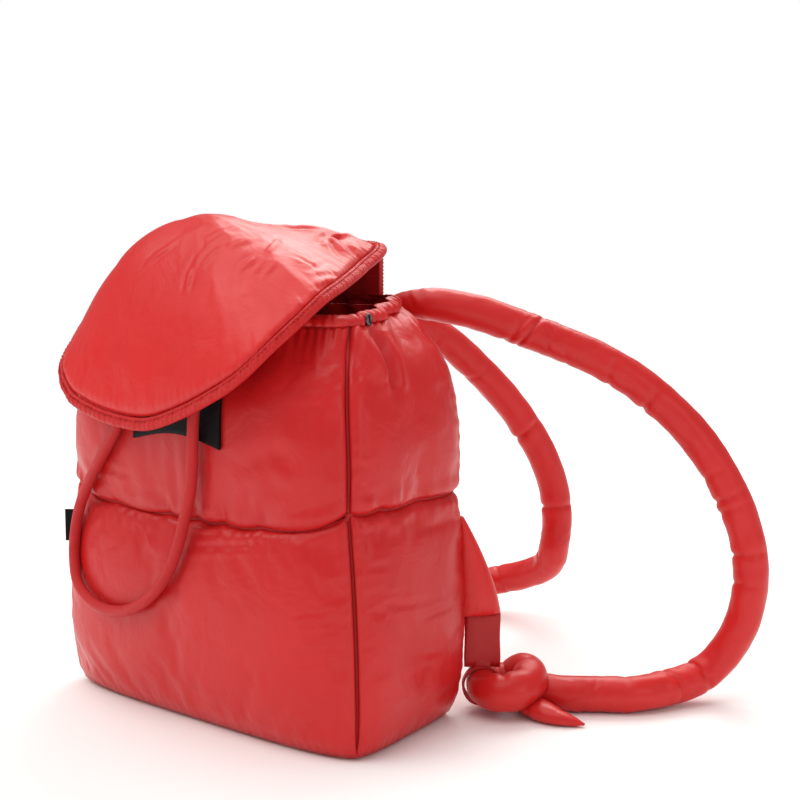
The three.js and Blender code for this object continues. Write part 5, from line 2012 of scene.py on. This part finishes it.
@dataclass(frozen=True)
class SoftLight:
    """One large soft panel of light."""

    name: str
    place: Point
    aim: Point
    size: float
    watts: float

    def build(self) -> None:
        """Hangs the light and turns it to what it lights."""
        bpy.ops.object.select_all(action="DESELECT")
        bpy.ops.object.light_add(type="AREA", location=self.place)
        lamp = bpy.context.object
        lamp.name = self.name
        lamp.data.shape = "SQUARE"
        lamp.data.size = self.size
        lamp.data.energy = self.watts
        lamp.data.color = WARM_WHITE
        lamp.rotation_euler = (Vector(self.aim) - Vector(self.place)).to_track_quat("-Z", "Y").to_euler()


@dataclass
class Studio:
    """Pale floor, soft light and the camera."""

    azimuth: float = math.radians(40.26)
    pitch: float = math.radians(6.56)
    lens: float = 66.7
    place: Point = (0.7514, -0.73725, 0.33868)
    lights: tuple[SoftLight, ...] = (
        SoftLight("key_panel", (-1.1, -1.5, 1.6), (0.0, 0.0, 0.2), 1.3, 7.0),
        SoftLight("back_panel", (-0.5, 1.2, 1.6), (0.0, 0.0, 0.2), 1.2, 20.0),
        SoftLight("side_panel", (1.9, -0.3, 0.9), (0.1, 0.0, 0.2), 0.8, 3.5),
    )
    sky: float = 0.6
    mirror_loss: float = 0.34
    sun: float = 1.5
    sun_lean: float = math.radians(16)
    sun_spread: float = math.radians(60)
    sensor: float = 36.0
    floor_size: float = 60.0
    paper: tuple[float, float, float, float] = (0.96, 0.96, 0.96, 1.0)
    fade_start: float = 0.7
    fade_end: float = 2.4

    def build_floor(self) -> None:
        """Makes a pale floor that passes into the white surroundings far from the bag."""
        bpy.ops.object.select_all(action="DESELECT")
        bpy.ops.mesh.primitive_plane_add(size=self.floor_size)
        floor = bpy.context.object
        floor.name = "studio_floor"
        graph = NodeGraph("floor_paper")
        place = graph.coordinates.outputs["Object"]
        away = graph.add("ShaderNodeVectorMath", {"operation": "LENGTH"}, i0=place)
        share = graph.add("ShaderNodeMapRange", {"interpolation_type": "SMOOTHSTEP"},
                          Value=away.outputs["Value"], From_Min=self.fade_start, From_Max=self.fade_end)
        glow = graph.add("ShaderNodeEmission")
        blend = graph.add("ShaderNodeMixShader", None, i0=share.outputs["Result"],
                          i1=graph.shader.outputs["BSDF"], i2=glow.outputs["Emission"])
        graph.fill(graph.nodes["Material Output"], Surface=blend.outputs["Shader"])
        floor.data.materials.append(graph.material_with(Base_Color=self.paper, Roughness=0.9,
                                                        Specular_IOR_Level=0.1))

    def build_room(self) -> None:
        """Makes the white surroundings, dimmer for the light they throw and in mirrored rays."""
        world = bpy.data.worlds.new("pale_room")
        bpy.context.scene.world = world
        world.use_nodes = True
        nodes, links = world.node_tree.nodes, world.node_tree.links
        room = nodes["Background"]
        room.inputs["Color"].default_value = (1.0, 1.0, 1.0, 1.0)
        rays = nodes.new("ShaderNodeLightPath")
        strength = room.inputs["Strength"]
        for kind, change in (("Is Glossy Ray", -self.mirror_loss), ("Is Camera Ray", 1.0 - self.sky)):
            step = nodes.new("ShaderNodeMath")
            step.operation = "MULTIPLY_ADD"
            links.new(rays.outputs[kind], step.inputs[0])
            step.inputs[1].default_value = change
            links.new(step.outputs["Value"], strength)
            strength = step.inputs[2]
        strength.default_value = self.sky

    def build_camera(self) -> None:
        """Sets the camera where the photo was taken from."""
        bpy.ops.object.select_all(action="DESELECT")
        bpy.ops.object.camera_add(location=self.place, rotation=(math.pi / 2 - self.pitch, 0.0, self.azimuth))
        camera = bpy.context.object
        camera.data.lens = self.lens
        camera.data.sensor_width = self.sensor
        camera.data.clip_end = 1.5 * self.floor_size
        scene = bpy.context.scene
        scene.camera = camera
        scene.view_settings.view_transform = "Standard"

    def build(self) -> None:
        """Makes the floor, the lights, the surroundings and the camera."""
        self.build_floor()
        for light in self.lights:
            light.build()
        self.build_room()
        bpy.ops.object.select_all(action="DESELECT")
        bpy.ops.object.light_add(type="SUN", rotation=(self.sun_lean, -self.sun_lean, 0.0))
        daylight = bpy.context.object
        daylight.name = "soft_daylight"
        daylight.data.energy = self.sun
        daylight.data.color = WARM_WHITE
        daylight.data.angle = self.sun_spread
        self.build_camera()


FAR_CREASES = tuple(Crease(share, depth * MM, 1.9 * MM, lean, 0.0, 2.2) for share, depth, lean in (
    (0.163, 0.7, 0.5), (0.213, 0.6, -0.4), (0.305, 1.5, 0.3), (0.395, 1.9, 0.0), (0.457, 1.9, 0.2),
    (0.538, 0.8, 0.3), (0.62, 1.0, 0.2), (0.72, 1.2, -0.2), (0.8, 1.0, 0.2)))
NEAR_CREASES = tuple(Crease(share, depth * MM, 1.9 * MM, lean, 0.0, 2.3) for share, depth, lean in (
    (0.159, 1.1, -0.7), (0.184, 1.1, -0.7), (0.24, 0.4, 0.3), (0.3, 0.9, 0.4), (0.352, 1.4, 0.1),
    (0.47, 0.7, 0.2), (0.502, 1.5, 0.1), (0.518, 1.0, 0.2), (0.574, 1.5, 0.0), (0.612, 1.0, 0.1),
    (0.747, 1.5, 0.2), (0.79, 1.6, 0.3), (0.85, 0.6, 0.2)))
RIGHT_REACH = 157 * MM
LEFT_REACH = 262 * MM


def main() -> None:
    """Builds the dressed backpack."""
    logging.basicConfig(level=logging.INFO, format="%(name)s %(message)s")
    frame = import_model()
    Studio().build()
    shop = Workshop(frame["nodes"])
    Drawstring(shop).build()
    BagBody(shop, folds=BODY_FOLDS).build()
    FlapAssembly(shop, folds=FLAP_FOLDS).build()
    TubeStrap(shop, Side.RIGHT, RIGHT_ROUTE, RIGHT_REACH, NEAR_CREASES, 3).build()
    TubeStrap(shop, Side.LEFT, LEFT_ROUTE, LEFT_REACH, FAR_CREASES, 8).build()
    for side in Side:
        StrapMount(shop, side).build()
    Trim(shop).build()


if __name__ == "__main__":
    main()
